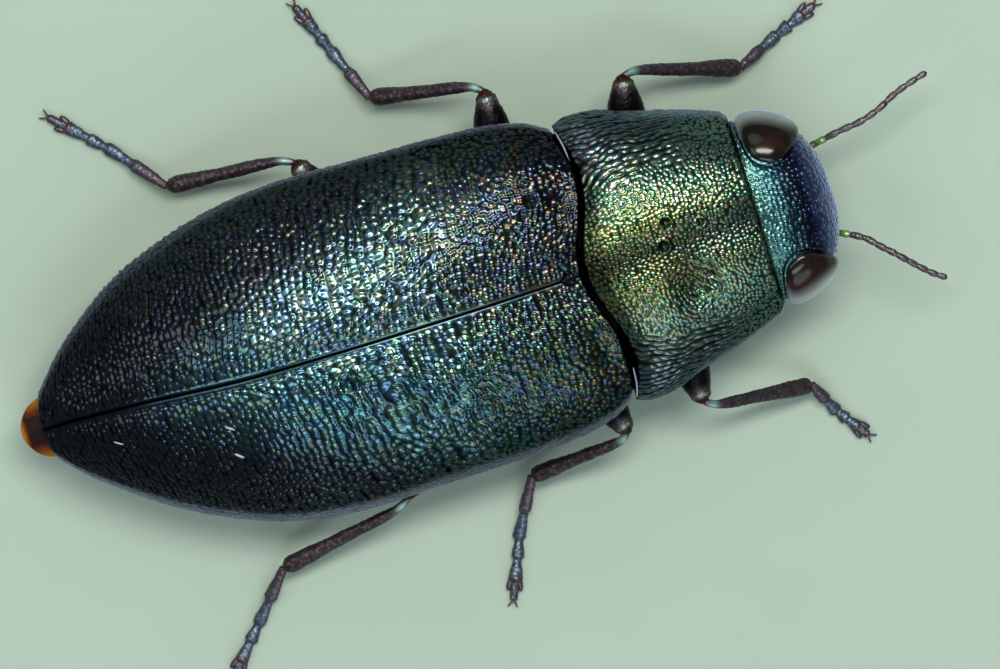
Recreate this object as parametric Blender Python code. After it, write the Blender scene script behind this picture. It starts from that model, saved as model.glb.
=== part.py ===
"""A jewel beetle, ten millimetres long, standing still on its six feet.

+Z is up and the floor is z = 0. The head points along -Y and the beetle's left side along +X.
Every size below is in millimetres, and each mesh is turned into metres as it is made.
"""
import math

import bmesh
import bpy
from mathutils import Vector

MM = 0.001
GAP = 0.04  # the thin cut that parts neighbouring pieces

# Places along the body
NOSE_Y = -4.36
NECK_Y = -3.35
COLLAR_Y = -1.16
WAIST_Y = 1.62
ABDOMEN_END_Y = 5.36
CASE_TIP_Y = 5.64
TAIL_TIP_Y = 5.94

# Wing cases: (share of the length, share of the half width) and heights above the floor
CASE_FRONT_Y = -1.29
CASE_HALF_WIDTH = 2.07
CASE_OUTLINE = ((0.0, 0.83), (0.035, 0.908), (0.12, 0.962), (0.3, 0.987), (0.475, 1.0), (0.565, 0.981),
                (0.65, 0.925), (0.74, 0.811), (0.83, 0.664), (0.915, 0.47), (0.968, 0.293), (1.0, 0.167))
CASE_CREST = ((0.0, 2.36), (0.2, 2.53), (0.4, 2.58), (0.6, 2.43), (0.8, 1.98), (0.92, 1.6), (1.0, 1.32))
CASE_EDGE = ((0.0, 1.5), (0.3, 1.38), (0.6, 1.28), (0.85, 1.16), (1.0, 1.1))
CASE_WALL = ((0.0, 0.45), (0.6, 0.42), (0.85, 0.3), (1.0, 0.16))
CASE_LIP = 0.14
CASE_ROWS = 20
CASE_COLUMNS = 9
CROWN_POWER = 2.7
CROWN_ROOT = 1.8

# Collar line between the prothorax and the wing cases
COLLAR_WAVE = 0.276
COLLAR_WAVE_WIDTH = 2.3

# Prothorax: shares of its length from the neck to the collar
THORAX_HALF_WIDTH = 1.79
THORAX_OUTLINE = ((0.0, 0.704), (0.24, 0.813), (0.53, 0.907), (0.72, 0.985), (0.89, 1.0), (1.0, 0.965))
THORAX_CREST = ((0.0, 2.2), (0.25, 2.42), (0.6, 2.54), (0.85, 2.48), (1.0, 2.36))
THORAX_EDGE = ((0.0, 1.3), (0.5, 1.36), (1.0, 1.5))
THORAX_BELLY = ((0.0, 0.66), (0.5, 0.5), (1.0, 0.5))
THORAX_ROWS = 10

# Hind thorax and abdomen: shares of the length from the collar to the abdomen's end
BELLY_LINE = ((0.0, 0.48), (0.4, 0.44), (0.75, 0.55), (0.92, 0.74), (1.0, 0.86))
BELLY_POWER = 2.2
BELLY_PLATES = 5
PLATE_STEP = 0.045

# Head
HEAD_HALF_WIDTH = 1.13
HEAD_MIDDLE_Z = 1.5
HEAD_CROWN = 0.66
HEAD_CHIN = 0.84
HEAD_BACK = 0.34
EYE_PLACE = (0.88, -3.8, 1.6)
EYE_RADII = (0.335, 0.36, 0.52)
MOUTH_PLACE = (0.0, -4.0, 0.82)
MOUTH_RADII = (0.42, 0.3, 0.26)
SHIELD_PLACE = (0.0, -0.97, 2.28)
SHIELD_RADII = (0.13, 0.17, 0.16)

# Feelers: centre line from root to tip, and their girth
FEELER_RADIUS = 0.225
FEELER_BEADS = 11
FEELER_SIDES = 7
FEELERS = {
    "antenna_left": ((0.5, -4.1, 1.1), (0.6, -4.5, 1.22), (0.66, -4.96, 1.32), (0.86, -5.5, 1.3),
                     (1.0, -5.84, 1.22)),
    "antenna_right": ((-0.42, -4.1, 1.1), (-0.66, -4.5, 1.22), (-0.96, -4.82, 1.32), (-1.3, -5.18, 1.3),
                      (-1.5, -5.34, 1.22)),
}

# Legs: girth along each length, then hip, knee, ankle and the foot's points along the floor
THIGH_GIRTH = ((0.0, 0.23), (0.4, 0.275), (0.8, 0.24), (1.0, 0.22))
SHIN_GIRTH = ((0.0, 0.22), (0.5, 0.205), (1.0, 0.225))
FOOT_GIRTH = 0.215
FOOT_WAIST = 0.19
FOOT_TIP = 0.14
FOOT_HEIGHT = 0.19
FOOT_LOBES = 5
HIP_RADII = (0.36, 0.32, 0.29)
BEND = 0.36
LEG_SIDES = 8
LEGS = {
    "front_left": ((0.46, -2.05, 0.6), (2.06, -2.35, 1.18), (1.62, -3.78, 0.34),
                   ((1.79, -4.19), (2.07, -4.88))),
    "front_right": ((-0.46, -2.05, 0.6), (-2.09, -2.12, 1.18), (-2.38, -3.47, 0.34),
                    ((-2.74, -3.62), (-3.22, -3.97))),
    "mid_left": ((0.52, -0.52, 0.58), (2.38, -0.7, 1.12), (2.62, 0.66, 0.34),
                 ((2.9, 0.8), (3.29, 0.94), (3.95, 1.21))),
    "mid_right": ((-0.52, -0.58, 0.58), (-2.18, -1.15, 1.08), (-2.43, 0.14, 0.34),
                  ((-2.67, 0.35), (-3.02, 0.46), (-3.88, 0.82))),
    "rear_left": ((0.56, 1.13, 0.56), (2.22, 1.76, 0.95), (2.32, 3.35, 0.34),
                  ((2.61, 3.56), (3.55, 4.5))),
    "rear_right": ((-0.56, 1.1, 0.56), (-2.17, 1.65, 0.95), (-2.6, 3.39, 0.34),
                   ((-2.92, 3.64), (-3.77, 4.41))),
}

# Finishes: colour, roughness, metallic
FINISHES = {
    "green_shell": ((0.10, 0.16, 0.07), 0.35, 0.9),
    "blue_shell": ((0.03, 0.06, 0.07), 0.3, 0.9),
    "bronze_shell": ((0.05, 0.035, 0.04), 0.4, 0.8),
    "eye": ((0.06, 0.03, 0.02), 0.12, 0.0),
    "amber": ((0.55, 0.25, 0.04), 0.3, 0.0),
    "feeler": ((0.08, 0.09, 0.11), 0.35, 0.8),
}


def clear_scene():
    for thing in list(bpy.data.objects):
        bpy.data.objects.remove(thing, do_unlink=True)


def finish(name):
    """The named finish as a material, made once."""
    if name in bpy.data.materials:
        return bpy.data.materials[name]
    colour, roughness, metallic = FINISHES[name]
    material = bpy.data.materials.new(name)
    material.use_nodes = True
    shader = material.node_tree.nodes["Principled BSDF"]
    shader.inputs["Base Color"].default_value = (*colour, 1.0)
    shader.inputs["Roughness"].default_value = roughness
    shader.inputs["Metallic"].default_value = metallic
    return material


def read(stations, share):
    """Value at a share of the way along, on a smooth curve through the stations."""
    share = min(max(share, stations[0][0]), stations[-1][0])
    last = len(stations) - 2
    i = min(sum(1 for place, _ in stations[1:-1] if place <= share), last)
    (x0, v0), (x1, v1) = stations[i], stations[i + 1]
    straight = (v1 - v0) / (x1 - x0)
    slopes = []
    for a, b in ((i - 1, i + 1), (i, i + 2)):
        a, b = max(a, 0), min(b, len(stations) - 1)
        slopes.append((stations[b][1] - stations[a][1]) / (stations[b][0] - stations[a][0]))
    t = (share - x0) / (x1 - x0)
    into, out = slopes[0] - straight, slopes[1] - straight
    return v0 + (v1 - v0) * t + (x1 - x0) * t * (1 - t) * ((1 - t) * into - t * out)


def collar(x):
    """The waved line where the prothorax meets the wing cases."""
    return COLLAR_Y - COLLAR_WAVE * math.sin(math.pi * abs(x) / COLLAR_WAVE_WIDTH) ** 2


def crown(x, half_width):
    """Height share of the flattened dome over the body: 1 on the middle line, 0 at the edge."""
    reach = min(abs(x) / half_width, 1.0)
    return (1.0 - reach ** CROWN_POWER) ** (1.0 / CROWN_ROOT)


def make(name, points, faces, material):
    """A closed mesh object from points in millimetres."""
    mesh = bpy.data.meshes.new(name)
    mesh.from_pydata([tuple(c * MM for c in p) for p in points], [], faces)
    shell = bmesh.new()
    shell.from_mesh(mesh)
    bmesh.ops.triangulate(shell, faces=shell.faces)
    bmesh.ops.recalc_face_normals(shell, faces=shell.faces)
    shell.to_mesh(mesh)
    shell.free()
    mesh.shade_smooth()
    mesh.set_sharp_from_angle(angle=math.radians(40))
    thing = bpy.data.objects.new(name, mesh)
    bpy.context.scene.collection.objects.link(thing)
    thing.data.materials.append(finish(material))
    return thing


def tube(name, rings, material):
    """Rings of equal count joined side by side, closed at both ends round a middle point."""
    count = len(rings[0])
    points = [p for ring in rings for p in ring]
    faces = []
    for r in range(len(rings) - 1):
        for k in range(count):
            a, b = r * count + k, r * count + (k + 1) % count
            faces.append((a, b, b + count, a + count))
    for first in (0, (len(rings) - 1) * count):
        middle = sum((Vector(p) for p in points[first:first + count]), Vector()) / count
        points.append(middle)
        faces += [(first + k, first + (k + 1) % count, len(points) - 1) for k in range(count)]
    return make(name, points, faces, material)


def slab(name, top, bottom, material):
    """Two grids of the same rows and columns, one over the other, joined round their rim."""
    rows, columns = len(top), len(top[0])
    points = [p for row in top for p in row] + [p for row in bottom for p in row]
    under = rows * columns
    faces = []
    for r in range(rows - 1):
        for c in range(columns - 1):
            a = r * columns + c
            faces.append((a, a + 1, a + columns + 1, a + columns))
            faces.append(tuple(under + i for i in (a, a + columns, a + columns + 1, a + 1)))
    rim = [c for c in range(columns)]
    rim += [r * columns + columns - 1 for r in range(1, rows)]
    rim += [(rows - 1) * columns + c for c in reversed(range(columns - 1))]
    rim += [r * columns for r in reversed(range(1, rows - 1))]
    for a, b in zip(rim, rim[1:] + rim[:1]):
        faces.append((a, b, b + under, a + under))
    return make(name, points, faces, material)


def power(value, exponent):
    return math.copysign(abs(value) ** exponent, value)


def blob(name, place, radii, material, squareness=2.0, turns=16, rows=9, swell=0.0):
    """A rounded body. radii are x, y and z, and y and z may each be a (low side, high side) pair."""
    rx, ry, rz = radii
    ry = ry if isinstance(ry, tuple) else (ry, ry)
    rz = rz if isinstance(rz, tuple) else (rz, rz)
    flat = 2.0 / squareness
    points = [Vector((place[0], place[1], place[2] - rz[0] - swell))]
    for r in range(1, rows):
        tilt = math.pi * (r / rows - 0.5)
        out, up = power(math.cos(tilt), flat), power(math.sin(tilt), flat)
        for k in range(turns):
            around = math.tau * k / turns
            x, y = power(math.cos(around), flat), power(math.sin(around), flat)
            reach = (rx + swell, ry[y > 0] + swell, rz[up > 0] + swell)
            points.append(Vector((x * out * reach[0], y * out * reach[1], up * reach[2])) + Vector(place))
    points.append(Vector((place[0], place[1], place[2] + rz[1] + swell)))
    faces = [(0, 1 + (k + 1) % turns, 1 + k) for k in range(turns)]
    for r in range(rows - 2):
        for k in range(turns):
            a, b = 1 + r * turns + k, 1 + r * turns + (k + 1) % turns
            faces.append((a, b, b + turns, a + turns))
    top, last = len(points) - 1, 1 + (rows - 2) * turns
    faces += [(last + k, last + (k + 1) % turns, top) for k in range(turns)]
    return make(name, points, faces, material)


def cut(body, cutter):
    """Take a cutter away from a body, and keep the cutter as a hidden guide."""
    cutter.hide_render = True
    cutter.display_type = "WIRE"
    seat = body.modifiers.new(cutter.name, "BOOLEAN")
    seat.operation = "DIFFERENCE"
    seat.solver = "EXACT"
    seat.object = cutter


# The trunk

def case_share(y):
    return (y - CASE_FRONT_Y) / (CASE_TIP_Y - CASE_FRONT_Y)


def case_half_width(y):
    return CASE_HALF_WIDTH * read(CASE_OUTLINE, case_share(y))


def under_case(y, x_share, clearance):
    """A point on the dome just inside the wing cases, at a share of its half width."""
    share = case_share(y)
    half = case_half_width(y) - CASE_LIP - clearance
    edge = read(CASE_EDGE, share) - 0.02 - clearance
    crest = read(CASE_CREST, share) - read(CASE_WALL, share) - clearance
    x = x_share * half
    return x, edge + max(crest - edge, 0.02) * crown(x, half)


def wing_case(name, side):
    """One wing case: domed above, hollowed below to sit on the trunk, with a rounded tip."""
    top, bottom = [], []
    spread = [math.sin(math.pi / 2 * c / (CASE_COLUMNS - 1)) for c in range(CASE_COLUMNS)]
    for r in range(CASE_ROWS):
        share = r / (CASE_ROWS - 1)
        y = CASE_FRONT_Y + share * (CASE_TIP_Y - CASE_FRONT_Y)
        half = case_half_width(y)
        crest, edge = read(CASE_CREST, share), read(CASE_EDGE, share)
        top_row, bottom_row = [], []
        for column in spread:
            x = column * half
            at_front = (1.0 - share) ** 6
            at_tip = share ** 12
            shift = at_front * (collar(x) + GAP - CASE_FRONT_Y) - at_tip * 0.05 * column ** 2
            z = edge + (crest - edge) * crown(x, half)
            inner_x, inner_z = under_case(y, column, 0.0)
            top_row.append((side * max(x, GAP / 2), y + shift, z))
            bottom_row.append((side * max(inner_x, GAP / 2), y + shift, inner_z))
        top.append(top_row)
        bottom.append(bottom_row)
    return slab(name, top, bottom, "blue_shell")


def across(columns):
    """Shares of the half width from left edge to right edge, closest together at the edges."""
    return [math.sin(math.pi / 2 * (1.0 - 2.0 * c / (columns - 1))) for c in range(columns)]


def trunk_ring(y, half, edge, crest, belly, front_pull):
    """A cross-section: the dome on top and a rounded belly below."""
    ring = []
    columns = across(2 * CASE_COLUMNS - 1)
    for column in columns:
        x = column * half
        ring.append((x, y + front_pull * (collar(x) - COLLAR_Y), edge + (crest - edge) * crown(x, half)))
    for column in reversed(columns[1:-1]):
        x = column * half
        drop = (1.0 - abs(column) ** BELLY_POWER) ** 0.5
        ring.append((x, y + front_pull * (collar(x) - COLLAR_Y), edge - (edge - belly) * drop))
    return ring


def under_case_ring(y, rise, front_pull):
    """A cross-section of the trunk under the wing cases, its belly raised a little where plates overlap."""
    share = case_share(y)
    half = case_half_width(y) - CASE_LIP - GAP
    edge = read(CASE_EDGE, share) - 0.02 - GAP
    crest = max(read(CASE_CREST, share) - read(CASE_WALL, share) - GAP, edge + 0.02)
    belly = read(BELLY_LINE, (y - COLLAR_Y) / (ABDOMEN_END_Y - COLLAR_Y)) + rise
    return trunk_ring(y, half, edge, crest, belly, front_pull)


def hind_thorax():
    """The trunk that carries the middle and rear legs."""
    start, end = COLLAR_Y + GAP, WAIST_Y - GAP / 2
    shares = [r / (THORAX_ROWS - 1) for r in range(THORAX_ROWS)]
    rings = [under_case_ring(start + share * (end - start), 0.0, (1.0 - share) ** 3) for share in shares]
    return tube("hind_thorax", rings, "bronze_shell")


def abdomen():
    """Five belly plates, each tucked under the hind edge of the one before."""
    start, end = WAIST_Y + GAP / 2, ABDOMEN_END_Y
    long = (end - start) / BELLY_PLATES
    rings = []
    for plate in range(BELLY_PLATES):
        for share, rise in ((0.0, 1.0), (0.12, 0.5), (0.93, 0.0)):
            rings.append(under_case_ring(start + (plate + share) * long, rise * PLATE_STEP, 0.0))
    rings.append(under_case_ring(end, PLATE_STEP, 0.0))
    return tube("abdomen", rings, "bronze_shell")


def prothorax():
    """The saddle-shaped shield behind the head, closed all round."""
    rings = []
    for r in range(THORAX_ROWS):
        share = r / (THORAX_ROWS - 1)
        y = NECK_Y + share * (COLLAR_Y - GAP - NECK_Y)
        half = THORAX_HALF_WIDTH * read(THORAX_OUTLINE, share)
        heights = [read(line, share) for line in (THORAX_EDGE, THORAX_CREST, THORAX_BELLY)]
        rings.append(trunk_ring(y, half, *heights, share ** 3))
    return tube("prothorax", rings, "green_shell")


def tail():
    """The amber tip of the abdomen, a rounded tongue under the wing cases."""
    rings = []
    for share in (0.0, 0.35, 0.65, 0.85, 0.96):
        y = ABDOMEN_END_Y + GAP + share * (TAIL_TIP_Y - ABDOMEN_END_Y - GAP)
        half = 0.42 * math.sqrt(1.0 - share ** 2.6)
        ring = []
        for k in range(14):
            around = math.tau * k / 14
            ring.append((half * power(math.cos(around), 0.8), y, 0.93 + 0.09 * math.sin(around)))
        rings.append(ring)
    return tube("tail_tip", rings, "amber")


# Head and feelers

def head_blob(name, swell):
    radii = (HEAD_HALF_WIDTH, (-NOSE_Y - 3.36, HEAD_BACK), (HEAD_CHIN, HEAD_CROWN))
    return blob(name, (0.0, -3.36, HEAD_MIDDLE_Z), radii, "green_shell", 2.35, 20, 12, swell)


def smooth_path(points, steps):
    """Points on a Catmull-Rom curve through the given ones."""
    ends = [2 * points[0] - points[1]] + points + [2 * points[-1] - points[-2]]
    path = []
    for a, b, c, d in zip(ends, ends[1:], ends[2:], ends[3:]):
        for s in range(steps):
            t = s / steps
            path.append(0.5 * (2 * b + (c - a) * t + (2 * a - 5 * b + 4 * c - d) * t * t
                               + (3 * b - 3 * c + d - a) * t ** 3))
    return path + [points[-1]]


def spaced(path, count):
    """The same path as a number of points an equal way apart."""
    reach = [0.0]
    for a, b in zip(path, path[1:]):
        reach.append(reach[-1] + (b - a).length)
    points = []
    for k in range(count):
        want = reach[-1] * k / (count - 1)
        i = min(max(sum(1 for r in reach if r < want), 1), len(path) - 1)
        points.append(path[i - 1].lerp(path[i], (want - reach[i - 1]) / (reach[i] - reach[i - 1])))
    return points


def ring_at(centre, along, radius, sides):
    """A circle of points square to a direction."""
    side = along.cross(Vector((0, 0, 1))).normalized()
    up = side.cross(along).normalized()
    angles = [math.tau * (k + 0.5) / sides for k in range(sides)]
    return [centre + radius * (math.cos(a) * side + math.sin(a) * up) for a in angles]


def direction(path, i):
    return (path[min(i + 1, len(path) - 1)] - path[max(i - 1, 0)]).normalized()


def feeler(name, points):
    """A string of beads with a rounded tip."""
    path = spaced(smooth_path([Vector(p) for p in points], 6), 2 * FEELER_BEADS)
    rings = []
    for i, centre in enumerate(path):
        swell = 1.0 if i % 2 else 0.88
        rings.append(ring_at(centre, direction(path, i), FEELER_RADIUS * swell, FEELER_SIDES))
    tip = direction(path, len(path) - 1)
    rings.append(ring_at(path[-1] + 0.09 * tip, tip, FEELER_RADIUS * 0.55, FEELER_SIDES))
    return tube(name, rings, "feeler")


# Legs

def bent(points, reach, steps):
    """The path through the points with each corner rounded, and the index of each corner's middle."""
    path, corners = [points[0]], []
    for a, b, c in zip(points, points[1:], points[2:]):
        start = b + (a - b).normalized() * min(reach, (a - b).length * 0.45)
        end = b + (c - b).normalized() * min(reach, (c - b).length * 0.45)
        corners.append(len(path) + steps // 2)
        for s in range(steps + 1):
            t = s / steps
            path.append(start * (1 - t) ** 2 + 2 * b * t * (1 - t) + end * t * t)
    return path + [points[-1]], corners


def leg_rings(path, radii, first, last):
    """Rings from one cut to the next, set back from each cut by half a gap."""
    rings = []
    for i in range(first, last + 1):
        along = direction(path, i)
        centre = path[i].copy()
        if i == first and first > 0:
            centre += along * GAP / 2
        if i == last and last < len(path) - 1:
            centre -= along * GAP / 2
        ring = ring_at(centre, along, radii[i], LEG_SIDES)
        rings.append([Vector((p.x, p.y, max(p.z, 0.0))) for p in ring])
    return rings


def leg_path(hip, knee, ankle, foot):
    """Centre points from hip to toe, the radius at each, and where thigh, shin and foot begin and end."""
    sole = [Vector((x, y, FOOT_HEIGHT)) for x, y in foot]
    path, corners = bent([Vector(hip), Vector(knee), Vector(ankle)] + sole, BEND, 4)
    thigh = spaced(path[:corners[0] + 1], 7)
    shin = spaced(path[corners[0]:corners[1] + 1], 7)
    lobes = spaced(path[corners[1]:], 2 * FOOT_LOBES + 1)
    radii = [read(THIGH_GIRTH, k / 6) for k in range(7)]
    radii += [read(SHIN_GIRTH, k / 6) for k in range(1, 7)]
    radii += [FOOT_GIRTH if k % 2 else FOOT_WAIST for k in range(1, 2 * FOOT_LOBES)] + [FOOT_TIP]
    return thigh + shin[1:] + lobes[1:], radii, (0, 6, 12, 12 + 2 * FOOT_LOBES)


def leg(name, hip, knee, ankle, foot, body):
    """Hip, thigh, shin and foot, and the seats they leave in the body piece that carries them."""
    path, radii, cuts = leg_path(hip, knee, ankle, foot)
    pieces = []
    for k, piece in enumerate(("femur_", "tibia_", "tarsus_")):
        pieces.append(tube(piece + name, leg_rings(path, radii, cuts[k], cuts[k + 1]), "bronze_shell"))
    blob("coxa_" + name, hip, HIP_RADII, "bronze_shell", turns=10, rows=6)
    socket = blob("socket_" + name, hip, HIP_RADII, "bronze_shell", turns=10, rows=6, swell=GAP)
    wide = [radius + GAP for radius in radii]
    groove = tube("groove_" + name, leg_rings(path, wide, cuts[0], cuts[1]), "bronze_shell")
    cut(pieces[0], socket)
    cut(body, socket)
    cut(body, groove)


def build():
    clear_scene()
    front, middle = prothorax(), hind_thorax()
    abdomen()
    tail()
    blob("scutellum", SHIELD_PLACE, SHIELD_RADII, "blue_shell", turns=10, rows=6)
    notch = blob("scutellum_notch", SHIELD_PLACE, SHIELD_RADII, "blue_shell", turns=10, rows=6, swell=GAP)
    for name, side in (("elytron_left", 1), ("elytron_right", -1)):
        cut(wing_case(name, side), notch)

    head = head_blob("head", 0.0)
    face = head_blob("face", GAP)
    cut(front, face)
    blob("mouthparts", MOUTH_PLACE, MOUTH_RADII, "bronze_shell", 2.4, 14, 8)
    cut(head, blob("mouth_pocket", MOUTH_PLACE, MOUTH_RADII, "bronze_shell", 2.4, 14, 8, GAP))
    for name, side in (("left", 1), ("right", -1)):
        place = (side * EYE_PLACE[0], *EYE_PLACE[1:])
        blob("eye_" + name, place, EYE_RADII, "eye", 2.0, 16, 10)
        cut(head, blob("orbit_" + name, place, EYE_RADII, "eye", 2.0, 16, 10, GAP))
    for name, points in FEELERS.items():
        cut(feeler(name, points), face)

    for name, places in LEGS.items():
        leg(name, *places, front if name.startswith("front") else middle)


build()
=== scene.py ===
"""The looks of a jewel beetle: every plate, leg and feeler at its true girth, with its skin's real relief.

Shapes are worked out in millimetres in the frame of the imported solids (head towards -Y, the beetle's left
towards +X, floor at z = 0), and turned into metres as each mesh is made.
"""
import math

import bpy
import numpy as np
from mathutils import Matrix, Vector


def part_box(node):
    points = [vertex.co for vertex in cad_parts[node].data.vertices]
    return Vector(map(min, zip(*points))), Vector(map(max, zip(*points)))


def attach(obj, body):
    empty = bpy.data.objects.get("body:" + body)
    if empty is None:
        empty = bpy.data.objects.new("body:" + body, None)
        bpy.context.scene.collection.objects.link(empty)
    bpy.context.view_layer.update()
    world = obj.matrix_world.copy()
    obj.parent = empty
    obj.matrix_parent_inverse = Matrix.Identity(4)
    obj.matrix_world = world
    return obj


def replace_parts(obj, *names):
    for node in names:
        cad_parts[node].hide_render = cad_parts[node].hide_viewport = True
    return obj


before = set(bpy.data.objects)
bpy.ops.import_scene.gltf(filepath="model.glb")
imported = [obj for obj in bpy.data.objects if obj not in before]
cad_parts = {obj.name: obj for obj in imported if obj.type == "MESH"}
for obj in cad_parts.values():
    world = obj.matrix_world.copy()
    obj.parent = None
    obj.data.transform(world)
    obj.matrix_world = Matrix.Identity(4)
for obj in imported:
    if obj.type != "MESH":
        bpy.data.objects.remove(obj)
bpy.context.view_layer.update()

MM = 0.001

# Real sizes of the skin's relief, in millimetres
CASE_GRAIN = (0.09, 0.108)
CASE_RELIEF = 0.02
PRONOTUM_GRAIN = 0.05
PRONOTUM_WRINKLE = 0.07
PRONOTUM_RELIEF = 0.009
HEAD_GRAIN = 0.062
HEAD_RELIEF = 0.012
LEG_GRAIN = 0.046
BELLY_GRAIN = 0.09

# Dents by the seed of the wing case they are in, and on the prothorax: place, width and depth
CASE_DENTS = {11: (((0.244, 0.226), 0.05, 0.03), ((1.05, -0.75), 0.08, 0.03), ((0.9, -0.62), 0.06, 0.025)),
              47: (((0.405, 1.913), 0.08, 0.055),)}
PRONOTUM_DENTS = (((0.32, -2.29), 0.06, 0.05), ((0.055, -2.19), 0.06, 0.04), ((0.2, -2.7), 0.045, 0.03),
                  ((-0.43, -2.64), 0.05, 0.02))

# The shallow hollow on the prothorax: place, width and depth
HOLLOW = (-0.55, -2.43)
HOLLOW_WIDTH = 0.24
HOLLOW_DEPTH = 0.11

# A bump and a dip at the shoulder of each wing case: height, place and width across, place and width along
CASE_SWELLS = ((0.05, 1.42, 0.2, -0.7, 0.28), (-0.06, 0.95, 0.3, -1.1, 0.2))

# How high the wall at a wing case's seam stands, and how far the tail reaches in under the abdomen
SEAM_WALL = 0.12
TAIL_ROOT = 0.1

# Lamps: degrees from straight above towards the beetle's left and towards its tail, sizes along and across
# the body in millimetres, power in watts and colour
LAMPS = (("left_lamp", 18.0, -8.0, 52.0, 18.0, 0.060, "#fffaf4"),
         ("right_lamp", -26.0, 2.0, 50.0, 20.0, 0.016, "#eef6ff"),
         ("rear_lamp", 16.0, 32.0, 44.0, 34.0, 0.011, "#fffaf8"),
         ("left_fill", 52.0, 0.0, 60.0, 40.0, 0.008, "#f4f6ff"),
         ("right_fill", -54.0, -10.0, 60.0, 40.0, 0.013, "#f4f6ff"))
LAMP_DISTANCE = 80.0
AIR_LIGHT = 0.35

# The head is a ball squared this much
HEAD_SQUARENESS = 2.35

# An eye's place on the head, as angles round it and up, its half sizes, squareness and swelling
EYE_MIDDLE = np.radians((-27.5, 12.5))
EYE_SPREAD = np.radians((21.5, 42.0))
EYE_SQUARENESS = 3.0
EYE_SWELL = 0.1

# Legs: their names, the ankle's height, girths along thigh and shin, where the foot's segments end, their
# girths and the girth between them, and the height of the foot's middle line
LEGS = ("front_left", "front_right", "mid_left", "mid_right", "rear_left", "rear_right")
ANKLE_HEIGHT = 0.34
THIGH_GIRTH = ((0.0, 0.12), (0.3, 0.2), (0.55, 0.24), (0.78, 0.215), (0.92, 0.135), (1.0, 0.1))
SHIN_GIRTH = ((0.0, 0.03), (0.04, 0.046), (0.12, 0.054), (0.25, 0.07), (0.6, 0.082), (0.86, 0.106),
              (0.96, 0.094), (1.0, 0.03))
FOOT_SEGMENTS = (0.0, 0.32, 0.54, 0.68, 0.86, 1.0)
FOOT_GIRTHS = (0.078, 0.082, 0.08, 0.085, 0.05)
FOOT_WAIST = 0.054
FOOT_HEIGHT = 0.075

# How many flat sides the solid tubes of legs and feelers have
LEG_SIDES = 8
FEELER_SIDES = 7

# The left feeler's socket on the head and the root of its first bead, and where its beads end
FEELER_SOCKET = (0.4, -4.17, 1.12)
FEELER_ROOT = (0.5, -4.12, 1.12)
FEELER_BEADS = (0.0, 0.13, 0.2, 0.3, 0.4, 0.49, 0.58, 0.67, 0.755, 0.84, 0.92, 1.0)

# Each pair of palps: its girth, and its bends from the middle of the mouth
PALPS = ((0.036, ((0.2, 0.0, -0.1), (0.6, -0.12, -0.04), (0.98, -0.06, 0.06))),
         (0.03, ((0.08, -0.1, -0.2), (0.14, -0.24, -0.24), (0.18, -0.34, -0.2))))

# Pale bristles on the right wing case: place, turn in degrees and girth
BRISTLES = ((-0.35, 4.79, 57.0, 0.009), (-0.52, 3.43, 55.0, 0.014), (-0.88, 3.43, 50.0, 0.016))

SIDE_NAME = {1: "left", -1: "right"}


def box_of(node):
    """Lowest and highest corner of a solid, in millimetres."""
    low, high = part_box(node)
    return np.array(low) / MM, np.array(high) / MM


def outline_of(node):
    """The corners of a solid, in millimetres."""
    corners = np.zeros(len(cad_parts[node].data.vertices) * 3)
    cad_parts[node].data.vertices.foreach_get("co", corners)
    return corners.reshape(-1, 3) / MM


# Places along the body, from the solids
CASE_LOW, CASE_HIGH = box_of("elytron_left")
THORAX_LOW, THORAX_HIGH = box_of("prothorax")
BELLY_LOW, BELLY_HIGH = box_of("hind_thorax")
ABDOMEN_LOW, ABDOMEN_HIGH = box_of("abdomen")
HEAD_LOW, HEAD_HIGH = box_of("head")
HEAD_MIDDLE = np.array([0.0, HEAD_HIGH[1] - 0.34, HEAD_LOW[2] + 0.84])
TAIL_LOW, TAIL_HIGH = box_of("tail_tip")

# Where the wing cases start, how far they stand behind the collar and how far their ends lean to the left
CASE_FRONT = CASE_LOW[1] + 0.1
CASE_GAP = 0.135
CASE_LEAN = 0.05

# Wing cases: shares of their length against shares of half width, height over the floor and roundness
CASE_OUTLINE = ((0.0, 0.83), (0.035, 0.908), (0.12, 0.962), (0.3, 0.987), (0.475, 1.0), (0.565, 0.981),
                (0.65, 0.925), (0.74, 0.824), (0.83, 0.692), (0.915, 0.52), (0.968, 0.372), (1.0, 0.21))
CASE_CREST = ((0.0, 0.915), (0.2, 0.981), (0.4, 1.0), (0.6, 0.942), (0.8, 0.767), (0.92, 0.62), (1.0, 0.512))
CASE_EDGE = ((0.0, 0.581), (0.3, 0.535), (0.6, 0.496), (0.85, 0.45), (1.0, 0.426))
CASE_FLATNESS = ((0.0, 3.8), (0.15, 3.4), (0.3, 2.7), (0.45, 2.3), (0.6, 2.05), (0.8, 1.9), (1.0, 1.9))
DOME_ROOT = 1.8

# How far apart the teeth on a wing case's hind edge are, how far its tip draws back, and at what share of its
# half width
EDGE_TEETH = 0.105
TIP_DRAW = 0.05
TIP_WIDTH = 0.167

# Millimetres in from the edge of each wing case where its dull rim, with its painted reflection, ends and
# where it is full
RIM_LEFT = (0.06, 0.01)
RIM_RIGHT = (0.2, 0.1)

# A shallow trough down each wing case beside the seam: its depth and how far out it reaches
FLANK_DIP = ((0.0, 0.02), (0.2, 0.02), (0.4, 0.022), (0.6, 0.028), (0.75, 0.022), (0.9, 0.008), (1.0, 0.0))
FLANK_REACH = ((0.0, 0.6), (0.2, 0.6), (0.4, 0.5), (0.6, 0.4), (0.75, 0.3), (1.0, 0.2))

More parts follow.
